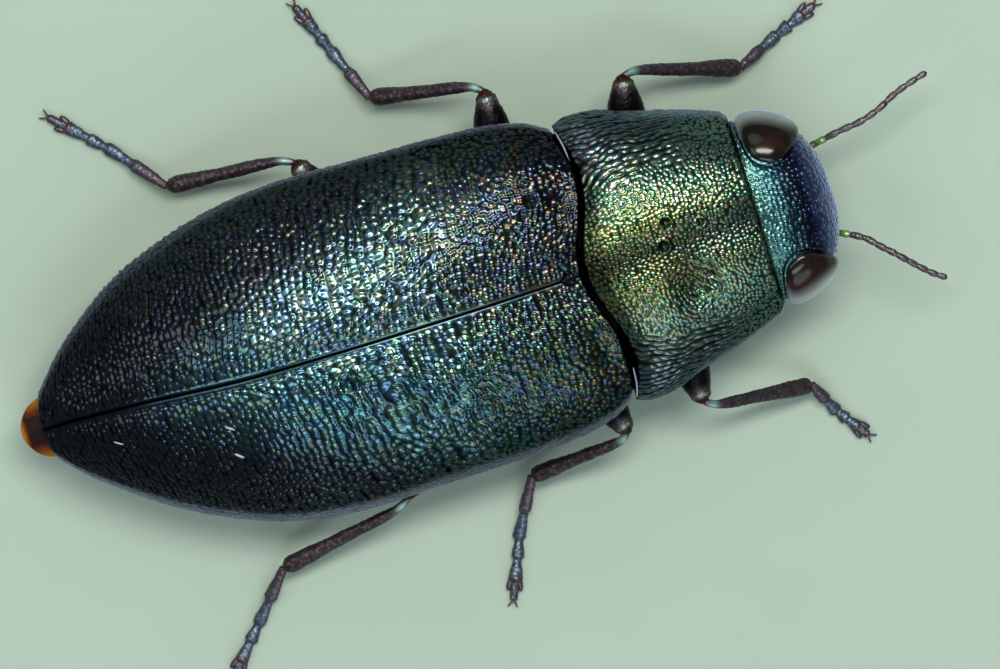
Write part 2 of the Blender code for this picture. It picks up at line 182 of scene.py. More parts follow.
# Prothorax: shares of its length from neck to collar
THORAX_OUTLINE = ((0.0, 0.704), (0.24, 0.813), (0.53, 0.907), (0.72, 0.985), (0.89, 1.0), (1.0, 0.965))
THORAX_CREST = ((0.0, 0.916), (0.15, 0.946), (0.35, 0.972), (0.55, 0.993), (0.7, 1.0), (0.88, 0.988),
                (1.0, 0.945))
THORAX_EDGE = ((0.0, 0.512), (0.5, 0.535), (1.0, 0.59))
THORAX_BELLY = ((0.0, 0.26), (0.5, 0.197), (1.0, 0.197))
THORAX_FLATNESS = 2.65

# The trunk under the wing cases: where its belly starts and its height, how far in from the wing cases' edge
# it lies, how much further at the tail, and the step from one belly plate to the next
BELLY_FRONT = -1.16
BELLY_LINE = ((0.0, 0.186), (0.4, 0.17), (0.75, 0.213), (0.92, 0.286), (1.0, 0.333))
TRUNK_INSET = 0.17
TAIL_INSET = 0.1
PLATE_STEP = 0.05

# The waved line between the prothorax and the wing cases: its depth and the width of one wave
COLLAR_WAVE = 0.276
COLLAR_WAVE_WIDTH = 2.3


# Shape helpers

def read(stations, share):
    """Values at shares of the way along, on a smooth curve through the stations."""
    x, v = np.array(stations).T
    ends = np.arange(len(x))
    after, before = np.minimum(ends + 1, len(x) - 1), np.maximum(ends - 1, 0)
    slope = (v[after] - v[before]) / (x[after] - x[before])
    share = np.clip(share, x[0], x[-1])
    i = np.clip(np.searchsorted(x, share, side="right") - 1, 0, len(x) - 2)
    width = x[i + 1] - x[i]
    t = (share - x[i]) / width
    straight = (v[i + 1] - v[i]) / width
    bend = (1 - t) * (slope[i] - straight) - t * (slope[i + 1] - straight)
    return v[i] + straight * width * t + width * t * (1 - t) * bend


def ease(low, high, value):
    """0 below low, 1 above high, smooth between."""
    t = np.clip((value - low) / (high - low), 0.0, 1.0)
    return t * t * (3.0 - 2.0 * t)


def hump(value, centre, width):
    """A smooth bump, 1 at its centre and fading over a width."""
    return np.exp(-((value - centre) / width) ** 2)


def drift(a, b, size, seed):
    """Smooth unevenness between -1 and 1, of a given size across."""
    table = np.random.default_rng(seed).uniform(-1.0, 1.0, (64, 64))
    ga, gb = a / size + 1000.3, b / size + 1000.7
    i, j = np.floor(ga).astype(int), np.floor(gb).astype(int)
    fa, fb = ease(0.0, 1.0, ga - i), ease(0.0, 1.0, gb - j)
    near = table[i % 64, j % 64] * (1 - fa) + table[(i + 1) % 64, j % 64] * fa
    far = table[i % 64, (j + 1) % 64] * (1 - fa) + table[(i + 1) % 64, (j + 1) % 64] * fa
    return near * (1 - fb) + far * fb


def grains(a, b, pitch_a, pitch_b, scatter, seed, merge=0.0):
    """Rows of grains along a, merged into wrinkles as merge nears 1: how near each is, its tone and slant."""
    rng = np.random.default_rng(seed)
    push, tones = rng.uniform(-scatter, scatter, (128, 128, 2)), rng.uniform(0.0, 1.0, (128, 128))
    slants, sizes = rng.uniform(-1.0, 1.0, (128, 128, 2)), rng.uniform(0.82, 1.2, (128, 128))
    col, row = a / pitch_a + 500.0, b / pitch_b + 500.0
    first, tone, slant = np.full(a.shape, 9.0), np.zeros(a.shape), np.zeros(a.shape)
    for dr in (-1, 0, 1):
        r = np.floor(row).astype(int) + dr
        lag = 0.5 * (r % 2)
        for dc in (-1, 0, 1):
            c = np.floor(col - lag).astype(int) + dc
            k = (r % 128, c % 128)
            along, across = col - (c + 0.5 + lag + push[k][..., 0]), row - (r + 0.5 + push[k][..., 1])
            away = np.hypot(along * (1.0 - merge), across) * sizes[k]
            nearer = away < first
            tone = np.where(nearer, tones[k], tone)
            slant = np.where(nearer, slants[k][..., 0] * along + slants[k][..., 1] * across, slant)
            first = np.minimum(first, away)
    return first, tone, slant


def grains_round(points, pitch, seed):
    """The same for a form that is round on all sides: grains scattered in space."""
    rng = np.random.default_rng(seed)
    push, tones = rng.uniform(-0.36, 0.36, (32, 32, 32, 3)), rng.uniform(0.0, 1.0, (32, 32, 32))
    spot = points / pitch + 300.0
    cell = np.floor(spot).astype(int)
    first, second, tone = np.full(len(points), 9.0), np.full(len(points), 9.0), np.zeros(len(points))
    for step in np.ndindex(3, 3, 3):
        c = cell + np.array(step) - 1
        k = tuple((c % 32).T)
        away = np.linalg.norm(spot - (c + 0.5 + push[k]), axis=1)
        tone = np.where(away < first, tones[k], tone)
        second = np.minimum(second, np.maximum(first, away))
        first = np.minimum(first, away)
    return first, second, tone


def collar(x):
    """The waved line where the prothorax meets the wing cases."""
    return -COLLAR_WAVE * np.sin(math.pi * np.abs(x) / COLLAR_WAVE_WIDTH) ** 2


def dome(x, half, edge, crest, flatness):
    """Height of a cross-section over a place across it."""
    t = np.clip(np.abs(x) / half, 0.0, 1.0)
    return edge + (crest - edge) * (1.0 - t ** flatness) ** (1.0 / DOME_ROOT)


def case_top(x, share):
    """Height of a wing case's bare skin at places across it and shares of the way along."""
    half = CASE_HIGH[0] * read(CASE_OUTLINE, share)
    crest, edge = CASE_HIGH[2] * read(CASE_CREST, share), CASE_HIGH[2] * read(CASE_EDGE, share)
    z = dome(x, half, edge, crest, read(CASE_FLATNESS, share))
    return z - read(FLANK_DIP, share) * np.clip(1.0 - (x / read(FLANK_REACH, share)) ** 2, 0.0, 1.0) ** 2


def sides(x, y, z):
    """A grid of points from columns and rows that spread over each other."""
    return np.stack(np.broadcast_arrays(x, y, z), axis=-1)


def round_under(top, under):
    """Columns over the top of a form and then back below it, as one ring."""
    return np.concatenate([top, under], axis=1)


def even(lines, count):
    """Each row of points again, as a number of points an even way apart."""
    rows = []
    for line in lines:
        step = np.linalg.norm(np.diff(line, axis=0), axis=1)
        reach = np.concatenate([[0.0], np.cumsum(step)])
        want = np.linspace(0.0, reach[-1], count)
        rows.append(np.stack([np.interp(want, reach, line[:, k]) for k in range(3)], axis=1))
    return np.array(rows)


def reach_of(sheet):
    """How far along its row each point of a grid lies."""
    step = np.linalg.norm(np.diff(sheet, axis=1), axis=2)
    return np.concatenate([np.zeros((len(sheet), 1)), np.cumsum(step, axis=1)], axis=1)


def path_through(points, count):
    """A smooth path through points, with its own points closest together at the ends."""
    points = np.array(points, float)
    reach = np.concatenate([[0.0], np.cumsum(np.linalg.norm(np.diff(points, axis=0), axis=1))])
    want = reach[-1] * (1.0 - np.cos(np.linspace(0.0, math.pi, count))) / 2.0
    return np.stack([read(np.stack([reach, points[:, k]], axis=1), want) for k in range(3)], axis=1)


# Mesh helpers

def rings_part(rings, marks=None):
    """Rings of points joined side by side and closed at both ends, with an even unwrap."""
    rows, cols = rings.shape[:2]
    grid = np.arange(rows * cols).reshape(rows, cols)
    turn = np.roll(grid, -1, axis=1)
    front, back = np.full(cols, rows * cols), np.full(cols, rows * cols + 1)
    across, along = np.arange(cols + 1) / cols, 0.02 + 0.96 * np.arange(rows) / (rows - 1)
    left = np.broadcast_to(across[:-1], (rows - 1, cols))
    right = np.broadcast_to(across[1:], (rows - 1, cols))
    near = np.broadcast_to(along[:-1, None], (rows - 1, cols))
    far = np.broadcast_to(along[1:, None], (rows - 1, cols))
    middle = (across[1:] + across[:-1]) / 2
    first, last = np.full(cols, along[0]), np.full(cols, along[-1])
    caps = [rings[0].mean(axis=0)[None], rings[-1].mean(axis=0)[None]]
    return {
        "points": np.concatenate([rings.reshape(-1, 3), *caps]),
        "quads": np.stack([grid[:-1], turn[:-1], turn[1:], grid[1:]], axis=-1).reshape(-1, 4),
        "tris": np.concatenate([np.stack([turn[0], grid[0], front], axis=1),
                                np.stack([grid[-1], turn[-1], back], axis=1)]),
        "quad_uv": np.stack([left, near, right, near, right, far, left, far], axis=-1).reshape(-1, 2),
        "tri_uv": np.concatenate([
            np.stack([across[1:], first, across[:-1], first, middle, 0 * first], axis=1).reshape(-1, 2),
            np.stack([across[:-1], last, across[1:], last, middle, 0 * last + 1], axis=1).reshape(-1, 2)]),
        "marks": {k: np.append(v.ravel(), [v[0].mean(), v[-1].mean()]) for k, v in (marks or {}).items()},
    }


def ball_part(count):
    """A ball of radius 1 with even faces: a cube's six sides swollen onto it."""
    step = np.tan(np.linspace(-math.pi / 4, math.pi / 4, count + 1))
    a, b = np.meshgrid(step, step, indexing="ij")
    one = np.ones_like(a)
    faces = [(one, a, b), (-one, b, a), (b, one, a), (a, -one, b), (a, b, one), (b, a, -one)]
    points = np.concatenate([np.stack(face, axis=-1).reshape(-1, 3) for face in faces])
    grid = np.arange((count + 1) ** 2).reshape(count + 1, count + 1)
    quad = np.stack([grid[:-1, :-1], grid[1:, :-1], grid[1:, 1:], grid[:-1, 1:]], axis=-1).reshape(-1, 4)
    quads = np.concatenate([quad + k * grid.size for k in range(6)])
    inset = np.linspace(0.02, 0.98, count + 1)
    patch = np.stack(np.meshgrid(inset, inset, indexing="ij"), axis=-1).reshape(-1, 2)
    uv = np.concatenate([(patch + (k % 3, k // 3)) / (3, 2) for k in range(6)])
    _, first, same = np.unique(np.round(points * 1e5).astype(np.int64), axis=0, return_index=True,
                               return_inverse=True)
    return {"points": points[first] / np.linalg.norm(points[first], axis=1, keepdims=True),
            "quads": same.ravel()[quads], "tris": np.zeros((0, 3), int), "quad_uv": uv[quads].reshape(-1, 2),
            "tri_uv": np.zeros((0, 2)), "marks": {}}


def tube_part(path, wide, high, turns, marks=None):
    """A tube along a path, with its half width and half height at each point of the path."""
    along = np.gradient(path, axis=0)
    along /= np.linalg.norm(along, axis=1, keepdims=True)
    side = np.cross(along, (0.0, 0.0, 1.0))
    side /= np.linalg.norm(side, axis=1, keepdims=True)
    rise = np.cross(side, along)
    angle = math.tau * np.arange(turns)[None, :, None] / turns
    spread = np.asarray(wide)[:, None, None] * np.cos(angle) * side[:, None]
    lift = np.asarray(high)[:, None, None] * np.sin(angle) * rise[:, None]
    marks = {k: np.broadcast_to(np.reshape(v, (len(path), -1)), (len(path), turns))
             for k, v in (marks or {}).items()}
    return rings_part(path[:, None] + spread - lift, marks)


def outward(part):
    """Unit normals of a part's points."""
    points, quads = part["points"], part["quads"]
    face = np.cross(points[quads[:, 2]] - points[quads[:, 0]], points[quads[:, 3]] - points[quads[:, 1]])
    normal = np.stack([sum(np.bincount(quads[:, k], face[:, axis], len(points)) for k in range(4))
                       for axis in range(3)], axis=1)
    return normal / np.maximum(np.linalg.norm(normal, axis=1, keepdims=True), 1e-12)


def grained(part, pitch, depth, seed, plateau=(0.1, 0.62), where=1.0, packed=False):
    """A part with grains raised all over it, or as strongly as where says; packed grains touch each other."""
    first, second, tone = grains_round(part["points"], pitch, seed)
    relief = ease(0.0, 0.55, second - first) if packed else 1.0 - ease(*plateau, first)
    part["points"] = part["points"] + outward(part) * (depth * relief * where)[:, None]
    part["marks"].update(relief=relief, tone=tone)
    return part


def mirrored(part, side):
    """The same part, on the beetle's other side if side is -1."""
    if side > 0:
        return part
    flipped = dict(part, points=part["points"] * (-1, 1, 1))
    flipped["quads"] = part["quads"][:, ::-1]
    flipped["tris"] = part["tris"][:, ::-1]
    flipped["quad_uv"] = part["quad_uv"].reshape(-1, 4, 2)[:, ::-1].reshape(-1, 2)
    flipped["tri_uv"] = part["tri_uv"].reshape(-1, 3, 2)[:, ::-1].reshape(-1, 2)
    return flipped


def solid(name, parts, material, slot, *nodes):
    """One smooth piece on the root body from parts in millimetres, each with its own strip of the unwrap."""
    sizes = [len(part["points"]) for part in parts]
    starts = np.concatenate([[0], np.cumsum(sizes)])
    quads = np.concatenate([part["quads"] + start for part, start in zip(parts, starts)])
    tris = np.concatenate([part["tris"] + start for part, start in zip(parts, starts)])
    corners = np.concatenate([quads.ravel(), tris.ravel()])
    mesh = bpy.data.meshes.new(name)
    mesh.vertices.add(starts[-1])
    mesh.vertices.foreach_set("co", np.concatenate([part["points"] for part in parts]).ravel() * MM)
    mesh.loops.add(len(corners))
    mesh.loops.foreach_set("vertex_index", corners)
    mesh.polygons.add(len(quads) + len(tris))
    mesh.polygons.foreach_set("loop_start", np.concatenate([np.arange(len(quads)) * 4,
                                                            len(quads) * 4 + np.arange(len(tris)) * 3]))
    mesh.update(calc_edges=True)
    mesh.shade_smooth()
    for label in sorted({label for part in parts for label in part["marks"]}):
        values = [part["marks"].get(label, np.zeros(size)) for part, size in zip(parts, sizes)]
        spots = mesh.attributes.new(label, "FLOAT", "POINT")
        spots.data.foreach_set("value", np.concatenate(values).astype(np.float32))
    strips = [[(part[kind] + (k, 0.0)) / (len(parts), 1.0) for k, part in enumerate(parts)]
              for kind in ("quad_uv", "tri_uv")]
    mesh.uv_layers.new(name="OFBake").data.foreach_set("uv", np.concatenate(strips[0] + strips[1]).ravel())
    mesh.materials.append(material)
    piece = bpy.data.objects.new(name, mesh)
    bpy.context.scene.collection.objects.link(piece)
    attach(piece, "root")
    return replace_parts(piece, *nodes)


# Colour and node helpers

def linear(colour, alpha=1.0):
    """A colour written as sRGB hex, as the linear values that a shader takes."""
    parts = [int(colour[k:k + 2], 16) / 255 for k in (1, 3, 5)]
    return (*[c / 12.92 if c <= 0.04045 else ((c + 0.055) / 1.055) ** 2.4 for c in parts], alpha)


def add(tree, kind, inputs=None, stops=None, **settings):
    """One node with its settings, its ramp's stops, and its inputs: a socket is linked and a value is set."""
    made = tree.nodes.new(kind)
    for name, value in settings.items():
        setattr(made, name, value)
    if stops:
        ramp = made.color_ramp.elements
        while len(ramp) < len(stops):
            ramp.new(0.5)
        for spot, (place, colour) in zip(ramp, stops):
            spot.position = place
            spot.color = linear(colour)
    for key, value in (inputs or {}).items():
        if isinstance(value, bpy.types.NodeSocket):
            tree.links.new(value, made.inputs[key])
        else:
            made.inputs[key].default_value = value
    return made


def new_material(name, **fixed):
    """A material with its shader's own sockets set, its node tree and its shader."""
    material = bpy.data.materials.new(name)
    material.use_nodes = True
    shader = material.node_tree.nodes["Principled BSDF"]
    for socket, value in fixed.items():
        shader.inputs[socket.replace("_", " ")].default_value = value
    return material, material.node_tree, shader


def feed(tree, shader, **sources):
    """Outputs of nodes linked into the shader's sockets of those names."""
    for socket, source in sources.items():
        tree.links.new(source, shader.inputs[socket.replace("_", " ")])


def hued_with_painted_valley_shade(tree, colour, tones, depth, mix=0.6):
    """Each grain a little different in hue, and painted shade: the floor between grains mixed dark."""
    tone = add(tree, "ShaderNodeAttribute", attribute_name="tone")
    relief = add(tree, "ShaderNodeAttribute", attribute_name="relief")
    hues = add(tree, "ShaderNodeValToRGB", {0: tone.outputs["Fac"]}, stops=tones)
    hued = add(tree, "ShaderNodeMix", {0: mix, 6: colour, 7: hues.outputs[0]}, data_type="RGBA",
               blend_type="OVERLAY")
    # Painted shade: the lower the relief mark, the more the colour is mixed to near black, standing for shade
    # between grains
    low = add(tree, "ShaderNodeMapRange", {0: relief.outputs["Fac"], 1: 0.05, 2: 0.75, 3: depth, 4: 0.0})
    return add(tree, "ShaderNodeMix", {0: low.outputs[0], 6: hued.outputs[2], 7: linear("#0e0f14")},
               data_type="RGBA").outputs[2]


def gloss_on_crowns(tree, shader, most):
    """A clear wax gloss on the crowns of the grains only."""
    relief = add(tree, "ShaderNodeAttribute", attribute_name="relief")
    wax = add(tree, "ShaderNodeMapRange", {0: relief.outputs["Fac"], 1: 0.15, 2: 0.65, 3: 0.0, 4: most})
    feed(tree, shader, Coat_Weight=wax.outputs[0])


# Finishes

EDGE_TINT = linear("#8a90a0")
FELT_TINT = linear("#b0c0e0")


def dull_rim_with_painted_reflection(tree, shader, skin, colour, gloss):
    """Bare metal that turns into duller, felted skin towards the rim, paler grey-blue there as a painted
    reflection; the colour of the whole comes back.
    """
    rim = add(tree, "ShaderNodeAttribute", attribute_name="rim")
    metal = add(tree, "ShaderNodeMapRange", {0: rim.outputs["Fac"], 3: 1.0, 4: 0.5})
    rough = add(tree, "ShaderNodeMapRange", {0: rim.outputs["Fac"], 3: gloss, 4: 0.4})
    felt = add(tree, "ShaderNodeMapRange", {0: rim.outputs["Fac"], 3: 0.0, 4: 0.6})
    feed(tree, shader, Metallic=metal.outputs[0], Roughness=rough.outputs[0], Sheen_Weight=felt.outputs[0])
    shader.inputs["Sheen Tint"].default_value = FELT_TINT
    shader.inputs["Sheen Roughness"].default_value = 0.4
    # Painted reflection: the rim is mixed to a paler grey-blue, the pale surroundings seen on a grazing slope
    whole = add(tree, "ShaderNodeMix", {0: rim.outputs["Fac"], 6: skin, 7: colour}, data_type="RGBA")
    return whole.outputs[2]


def elytra_cuticle():
    """Chitin hardened in fine layers: blue-green metal in front, painted near black with shade behind and
    outside.
    """
    material, tree, shader = new_material("elytra_cuticle", Specular_Tint=EDGE_TINT, Coat_Roughness=0.07)
    place = add(tree, "ShaderNodeSeparateXYZ", {0: add(tree, "ShaderNodeTexCoord").outputs["Object"]})
    along = add(tree, "ShaderNodeMapRange", {0: place.outputs[1], 1: CASE_LOW[1] * MM, 2: CASE_HIGH[1] * MM})
    body = add(tree, "ShaderNodeValToRGB", {0: along.outputs[0]}, stops=(
        (0.0, "#3e3c3e"), (0.1, "#4e5052"), (0.2, "#586262"), (0.34, "#587070"), (0.55, "#52727a"),
        (0.72, "#4c6c74"), (0.86, "#303c48"), (1.0, "#24242e")))
    # Painted light and shade: the right wing case takes its own ramp, lighter and greener in front and darker
    # further back, for how light falls on it
    right_case_painted_light = add(tree, "ShaderNodeValToRGB", {0: along.outputs[0]}, stops=(
        (0.0, "#525a4c"), (0.1, "#525e54"), (0.2, "#4a6260"), (0.34, "#446668"), (0.55, "#446c74"),
        (0.72, "#406066"), (0.86, "#2c3440"), (1.0, "#241e28")))
    to_right = add(tree, "ShaderNodeMapRange", {0: place.outputs[0], 1: 0.2 * MM, 2: -0.5 * MM})
    body = add(tree, "ShaderNodeMix", {0: to_right.outputs[0], 6: body.outputs[0], 7: right_case_painted_light.outputs[0]},
               data_type="RGBA")
    # Painted shade: towards the outer sides and the tail the colour is mixed to near black, where the slopes
    # turn away from the lamps
    offset = add(tree, "ShaderNodeMath", {0: place.outputs[0], 1: 0.1 * MM}, operation="ADD")
    side = add(tree, "ShaderNodeMath", {0: offset.outputs[0]}, operation="ABSOLUTE")
    slant = add(tree, "ShaderNodeMath", {0: place.outputs[1], 1: 0.45, 2: side.outputs[0]},
                operation="MULTIPLY_ADD")
    outer = add(tree, "ShaderNodeMapRange", {0: slant.outputs[0], 1: 1.7 * MM, 2: 2.4 * MM, 3: 0.0, 4: 0.93})
    tones = ((0.0, "#58489c"), (0.2, "#4c78ac"), (0.4, "#58a09c"), (0.62, "#80a470"), (0.84, "#c8a468"),
             (1.0, "#a48cb0"))
    flanks_in_painted_shade = add(tree, "ShaderNodeMix", {0: outer.outputs[0], 6: body.outputs[2], 7: linear("#272a31")},
                 data_type="RGBA")
    skin = dull_rim_with_painted_reflection(tree, shader, flanks_in_painted_shade.outputs[2], linear("#465060"), 0.21)
    speckle = add(tree, "ShaderNodeMapRange", {0: along.outputs[0], 1: 0.12, 2: 0.32, 3: 0.78, 4: 0.5})
    feed(tree, shader, Base_Color=hued_with_painted_valley_shade(tree, skin, tones, 0.8, speckle.outputs[0]))
    gloss_on_crowns(tree, shader, 0.35)
    return material


def pronotum_cuticle():
    """The same layered chitin, golden green in the middle and blue-green down the sides; painted shade
    darkens the middle line and a painted reflection pales the sides.
    """
    material, tree, shader = new_material("pronotum_cuticle", Specular_Tint=EDGE_TINT, Coat_Roughness=0.07)
    place = add(tree, "ShaderNodeSeparateXYZ", {0: add(tree, "ShaderNodeTexCoord").outputs["Object"]})
    side = add(tree, "ShaderNodeMath", {0: place.outputs[0]}, operation="ABSOLUTE")
    out = add(tree, "ShaderNodeMapRange", {0: side.outputs[0], 1: 0.0, 2: THORAX_HIGH[0] * MM})
    # Painted shade and reflection: darkest along the middle line, paler blue-grey out to the sides, as light
    # falls on the dome
    body = add(tree, "ShaderNodeValToRGB", {0: out.outputs[0]}, stops=(
        (0.0, "#3c4032"), (0.1, "#5e644a"), (0.22, "#80885e"), (0.42, "#7c9484"), (0.62, "#66767a"),
        (0.8, "#646c7e"), (1.0, "#74809c")))
    forward = add(tree, "ShaderNodeMapRange", {0: place.outputs[1], 1: -2.1 * MM, 2: THORAX_LOW[1] * MM,
                                               3: 0.0, 4: 0.5})
    cooler = add(tree, "ShaderNodeMix", {0: forward.outputs[0], 6: body.outputs[0], 7: linear("#68868c")},
                 data_type="RGBA")
    tones = ((0.0, "#448c98"), (0.3, "#649c70"), (0.6, "#98a468"), (0.85, "#bc9c78"), (1.0, "#a098c4"))
    skin = dull_rim_with_painted_reflection(tree, shader, cooler.outputs[2], linear("#6c8098"), 0.24)
    feed(tree, shader, Base_Color=hued_with_painted_valley_shade(tree, skin, tones, 0.85, 0.7))
    gloss_on_crowns(tree, shader, 0.45)
    return material


def head_cuticle():
    """Layered chitin, green at the neck, cyan on the crown and steel blue under fine down on the face; the
    brow is paled as a painted reflection.
    """
    material, tree, shader = new_material("head_cuticle", Metallic=1.0, Roughness=0.27, Coat_Roughness=0.08,
                                          Sheen_Roughness=0.4, Sheen_Tint=FELT_TINT)
    place = add(tree, "ShaderNodeSeparateXYZ", {0: add(tree, "ShaderNodeTexCoord").outputs["Object"]})
    along = add(tree, "ShaderNodeMapRange", {0: place.outputs[1], 1: THORAX_LOW[1] * MM, 2: HEAD_LOW[1] * MM})
    body = add(tree, "ShaderNodeValToRGB", {0: along.outputs[0]}, stops=(
        (0.0, "#607c70"), (0.2, "#527a78"), (0.4, "#34505a"), (0.56, "#282e3c"), (0.68, "#2c365c"),
        (1.0, "#4c5a94")))
    tones = ((0.0, "#3f6fb0"), (0.4, "#4f9f9f"), (0.8, "#7fb08a"), (1.0, "#9fa0c0"))
    # Painted reflection: the brow is mixed towards pale blue, the grazing front reflecting the pale
    # surroundings
    brow_painted_reflection = add(tree, "ShaderNodeMapRange", {0: along.outputs[0], 1: 0.66, 2: 0.9, 3: 0.0, 4: 0.4})
    mixed = add(tree, "ShaderNodeMix", {0: brow_painted_reflection.outputs[0], 6: body.outputs[0], 7: linear("#c8ccff")},
                data_type="RGBA")
    skin = hued_with_painted_valley_shade(tree, mixed.outputs[2], tones, 0.55, 0.4)
    felt = add(tree, "ShaderNodeMapRange", {0: along.outputs[0], 1: 0.62, 2: 0.88, 3: 0.0, 4: 1.0})
    feed(tree, shader, Base_Color=skin, Sheen_Weight=felt.outputs[0])
    gloss_on_crowns(tree, shader, 0.2)
    return material


def belly_cuticle():
    """Bronze-black chitin, polished between fine punctures, with painted shade in the punctures and on the
    trunk's back.
    """
    material, tree, shader = new_material("belly_cuticle", Metallic=0.85, Roughness=0.36)
    place = add(tree, "ShaderNodeTexCoord")
    cells = add(tree, "ShaderNodeTexVoronoi", {"Vector": place.outputs["Object"],
                                               "Scale": 1 / (BELLY_GRAIN * MM)})
    # Painted shade: the ramp is darkest at the middle of each puncture
    body = add(tree, "ShaderNodeValToRGB", {0: cells.outputs["Distance"]}, stops=(
        (0.0, "#141313"), (0.35, "#383029"), (0.6, "#444234"), (0.9, "#2f3e3b")))
    # Painted shade: where the relief mark is nothing, on the trunk's back, the colour is near black
    relief = add(tree, "ShaderNodeAttribute", attribute_name="relief")
    out_of_painted_shade = add(tree, "ShaderNodeMapRange", {0: relief.outputs["Fac"], 1: 0.0, 2: 0.2})
    skin = add(tree, "ShaderNodeMix", {0: out_of_painted_shade.outputs[0], 6: linear("#08080a"), 7: body.outputs[0]},
               data_type="RGBA")
    pits = add(tree, "ShaderNodeBump", {"Strength": 0.5, "Distance": 0.01 * MM,
                                        "Height": cells.outputs["Distance"]})
    feed(tree, shader, Base_Color=skin.outputs[2], Normal=pits.outputs[0])
    return material


def leg_cuticle():
    """Purple-bronze chitin, punctured, with orange-brown joints and a pale mint painted highlight by each
    knee.
    """
    material, tree, shader = new_material("leg_cuticle", Metallic=0.8, Roughness=0.4, Specular_IOR_Level=0.25)
    joint = add(tree, "ShaderNodeAttribute", attribute_name="joint")
    body = add(tree, "ShaderNodeValToRGB", {0: joint.outputs["Fac"]}, stops=(
        (0.0, "#0c0a0b"), (0.35, "#6c6068"), (0.6, "#6c4a3c"), (1.0, "#542a1c")))
    tones = ((0.0, "#5a4f60"), (0.3, "#74504e"), (0.55, "#6c6458"), (0.8, "#587c70"), (1.0, "#8a8a90"))
    skin = hued_with_painted_valley_shade(tree, body.outputs[0], tones, 0.5, 0.6)
    # Painted highlight: this mark mixes in a pale mint by the knees
    flush = add(tree, "ShaderNodeAttribute", attribute_name="flush")
    colour = add(tree, "ShaderNodeMix", {0: flush.outputs["Fac"], 6: skin, 7: linear("#a0ccc0")},
                 data_type="RGBA")
    feed(tree, shader, Base_Color=colour.outputs[2])
    return material


def foot_cuticle():
    """Thin blue-grey chitin, red-brown on the first segment, the lobes and the claws."""
    material, tree, shader = new_material("foot_cuticle", Metallic=0.7, Roughness=0.36)
    joint = add(tree, "ShaderNodeAttribute", attribute_name="joint")
    tones = ((0.0, "#7a6470"), (0.5, "#7f8a98"), (1.0, "#8faab0"))
    skin = hued_with_painted_valley_shade(tree, linear("#667684"), tones, 0.5, 0.5)
    colour = add(tree, "ShaderNodeMix", {0: joint.outputs["Fac"], 6: skin, 7: linear("#4c383a")},
                 data_type="RGBA")
    feed(tree, shader, Base_Color=colour.outputs[2])
    return material


def feeler_cuticle():
    """Grey-brown metallic beads, green on the second, and a brown root bead."""
    material, tree, shader = new_material("feeler_cuticle", Metallic=0.75, Roughness=0.34)
    root = add(tree, "ShaderNodeAttribute", attribute_name="joint")
    tones = ((0.0, "#8a7a88"), (0.5, "#8a8a7a"), (1.0, "#9aa4aa"))
    skin = hued_with_painted_valley_shade(tree, linear("#746e70"), tones, 0.5)
    brown = add(tree, "ShaderNodeMix", {0: root.outputs["Fac"], 6: skin, 7: linear("#5c443c")},
                data_type="RGBA")
    flush = add(tree, "ShaderNodeAttribute", attribute_name="flush")
    colour = add(tree, "ShaderNodeMix", {0: flush.outputs["Fac"], 6: brown.outputs[2], 7: linear("#84ac68")},
                 data_type="RGBA")
    feed(tree, shader, Base_Color=colour.outputs[2])
    return material


def eye_cornea():
    """A glassy skin of minute lenses over dark brown pigment, with a pale bloom at its outer side."""
    material, tree, shader = new_material("eye_cornea", Roughness=0.17, IOR=1.5, Specular_IOR_Level=0.3,
                                          Coat_IOR=4.4, Coat_Roughness=0.45, Sheen_Roughness=0.4,
                                          Sheen_Tint=linear("#b0c4ff"))
    place = add(tree, "ShaderNodeTexCoord")
    cloud = add(tree, "ShaderNodeTexNoise", {"Vector": place.outputs["Object"], "Scale": 1 / (0.3 * MM)})
    pigment = add(tree, "ShaderNodeValToRGB", {0: cloud.outputs[0]},
                  stops=((0.4, "#0c0604"), (0.62, "#201208")))
    lenses = add(tree, "ShaderNodeTexVoronoi", {"Vector": place.outputs["Object"], "Scale": 1 / (0.022 * MM)})
    facets = add(tree, "ShaderNodeBump", {"Strength": 0.08, "Distance": 0.003 * MM,
                                          "Height": lenses.outputs["Distance"]}, invert=True)
    feed(tree, shader, Base_Color=pigment.outputs[0], Normal=facets.outputs[0])
    slant = add(tree, "ShaderNodeLayerWeight", {"Blend": 0.5})
    bloom = add(tree, "ShaderNodeMapRange", {0: slant.outputs["Facing"], 1: 0.26, 2: 0.58})
    axes = add(tree, "ShaderNodeSeparateXYZ", {0: place.outputs["Object"]})
    sideways = add(tree, "ShaderNodeMath", {0: axes.outputs[0]}, operation="ABSOLUTE")
    outer = add(tree, "ShaderNodeMapRange", {0: sideways.outputs[0], 1: 0.84 * MM, 2: 1.0 * MM,
                                             3: 0.0, 4: 0.95})
    coat = add(tree, "ShaderNodeMath", {0: bloom.outputs[0], 1: outer.outputs[0]}, operation="MULTIPLY")
    felt = add(tree, "ShaderNodeMath", {0: coat.outputs[0], 1: 0.5}, operation="MULTIPLY")
    feed(tree, shader, Coat_Weight=coat.outputs[0], Sheen_Weight=felt.outputs[0])
    return material


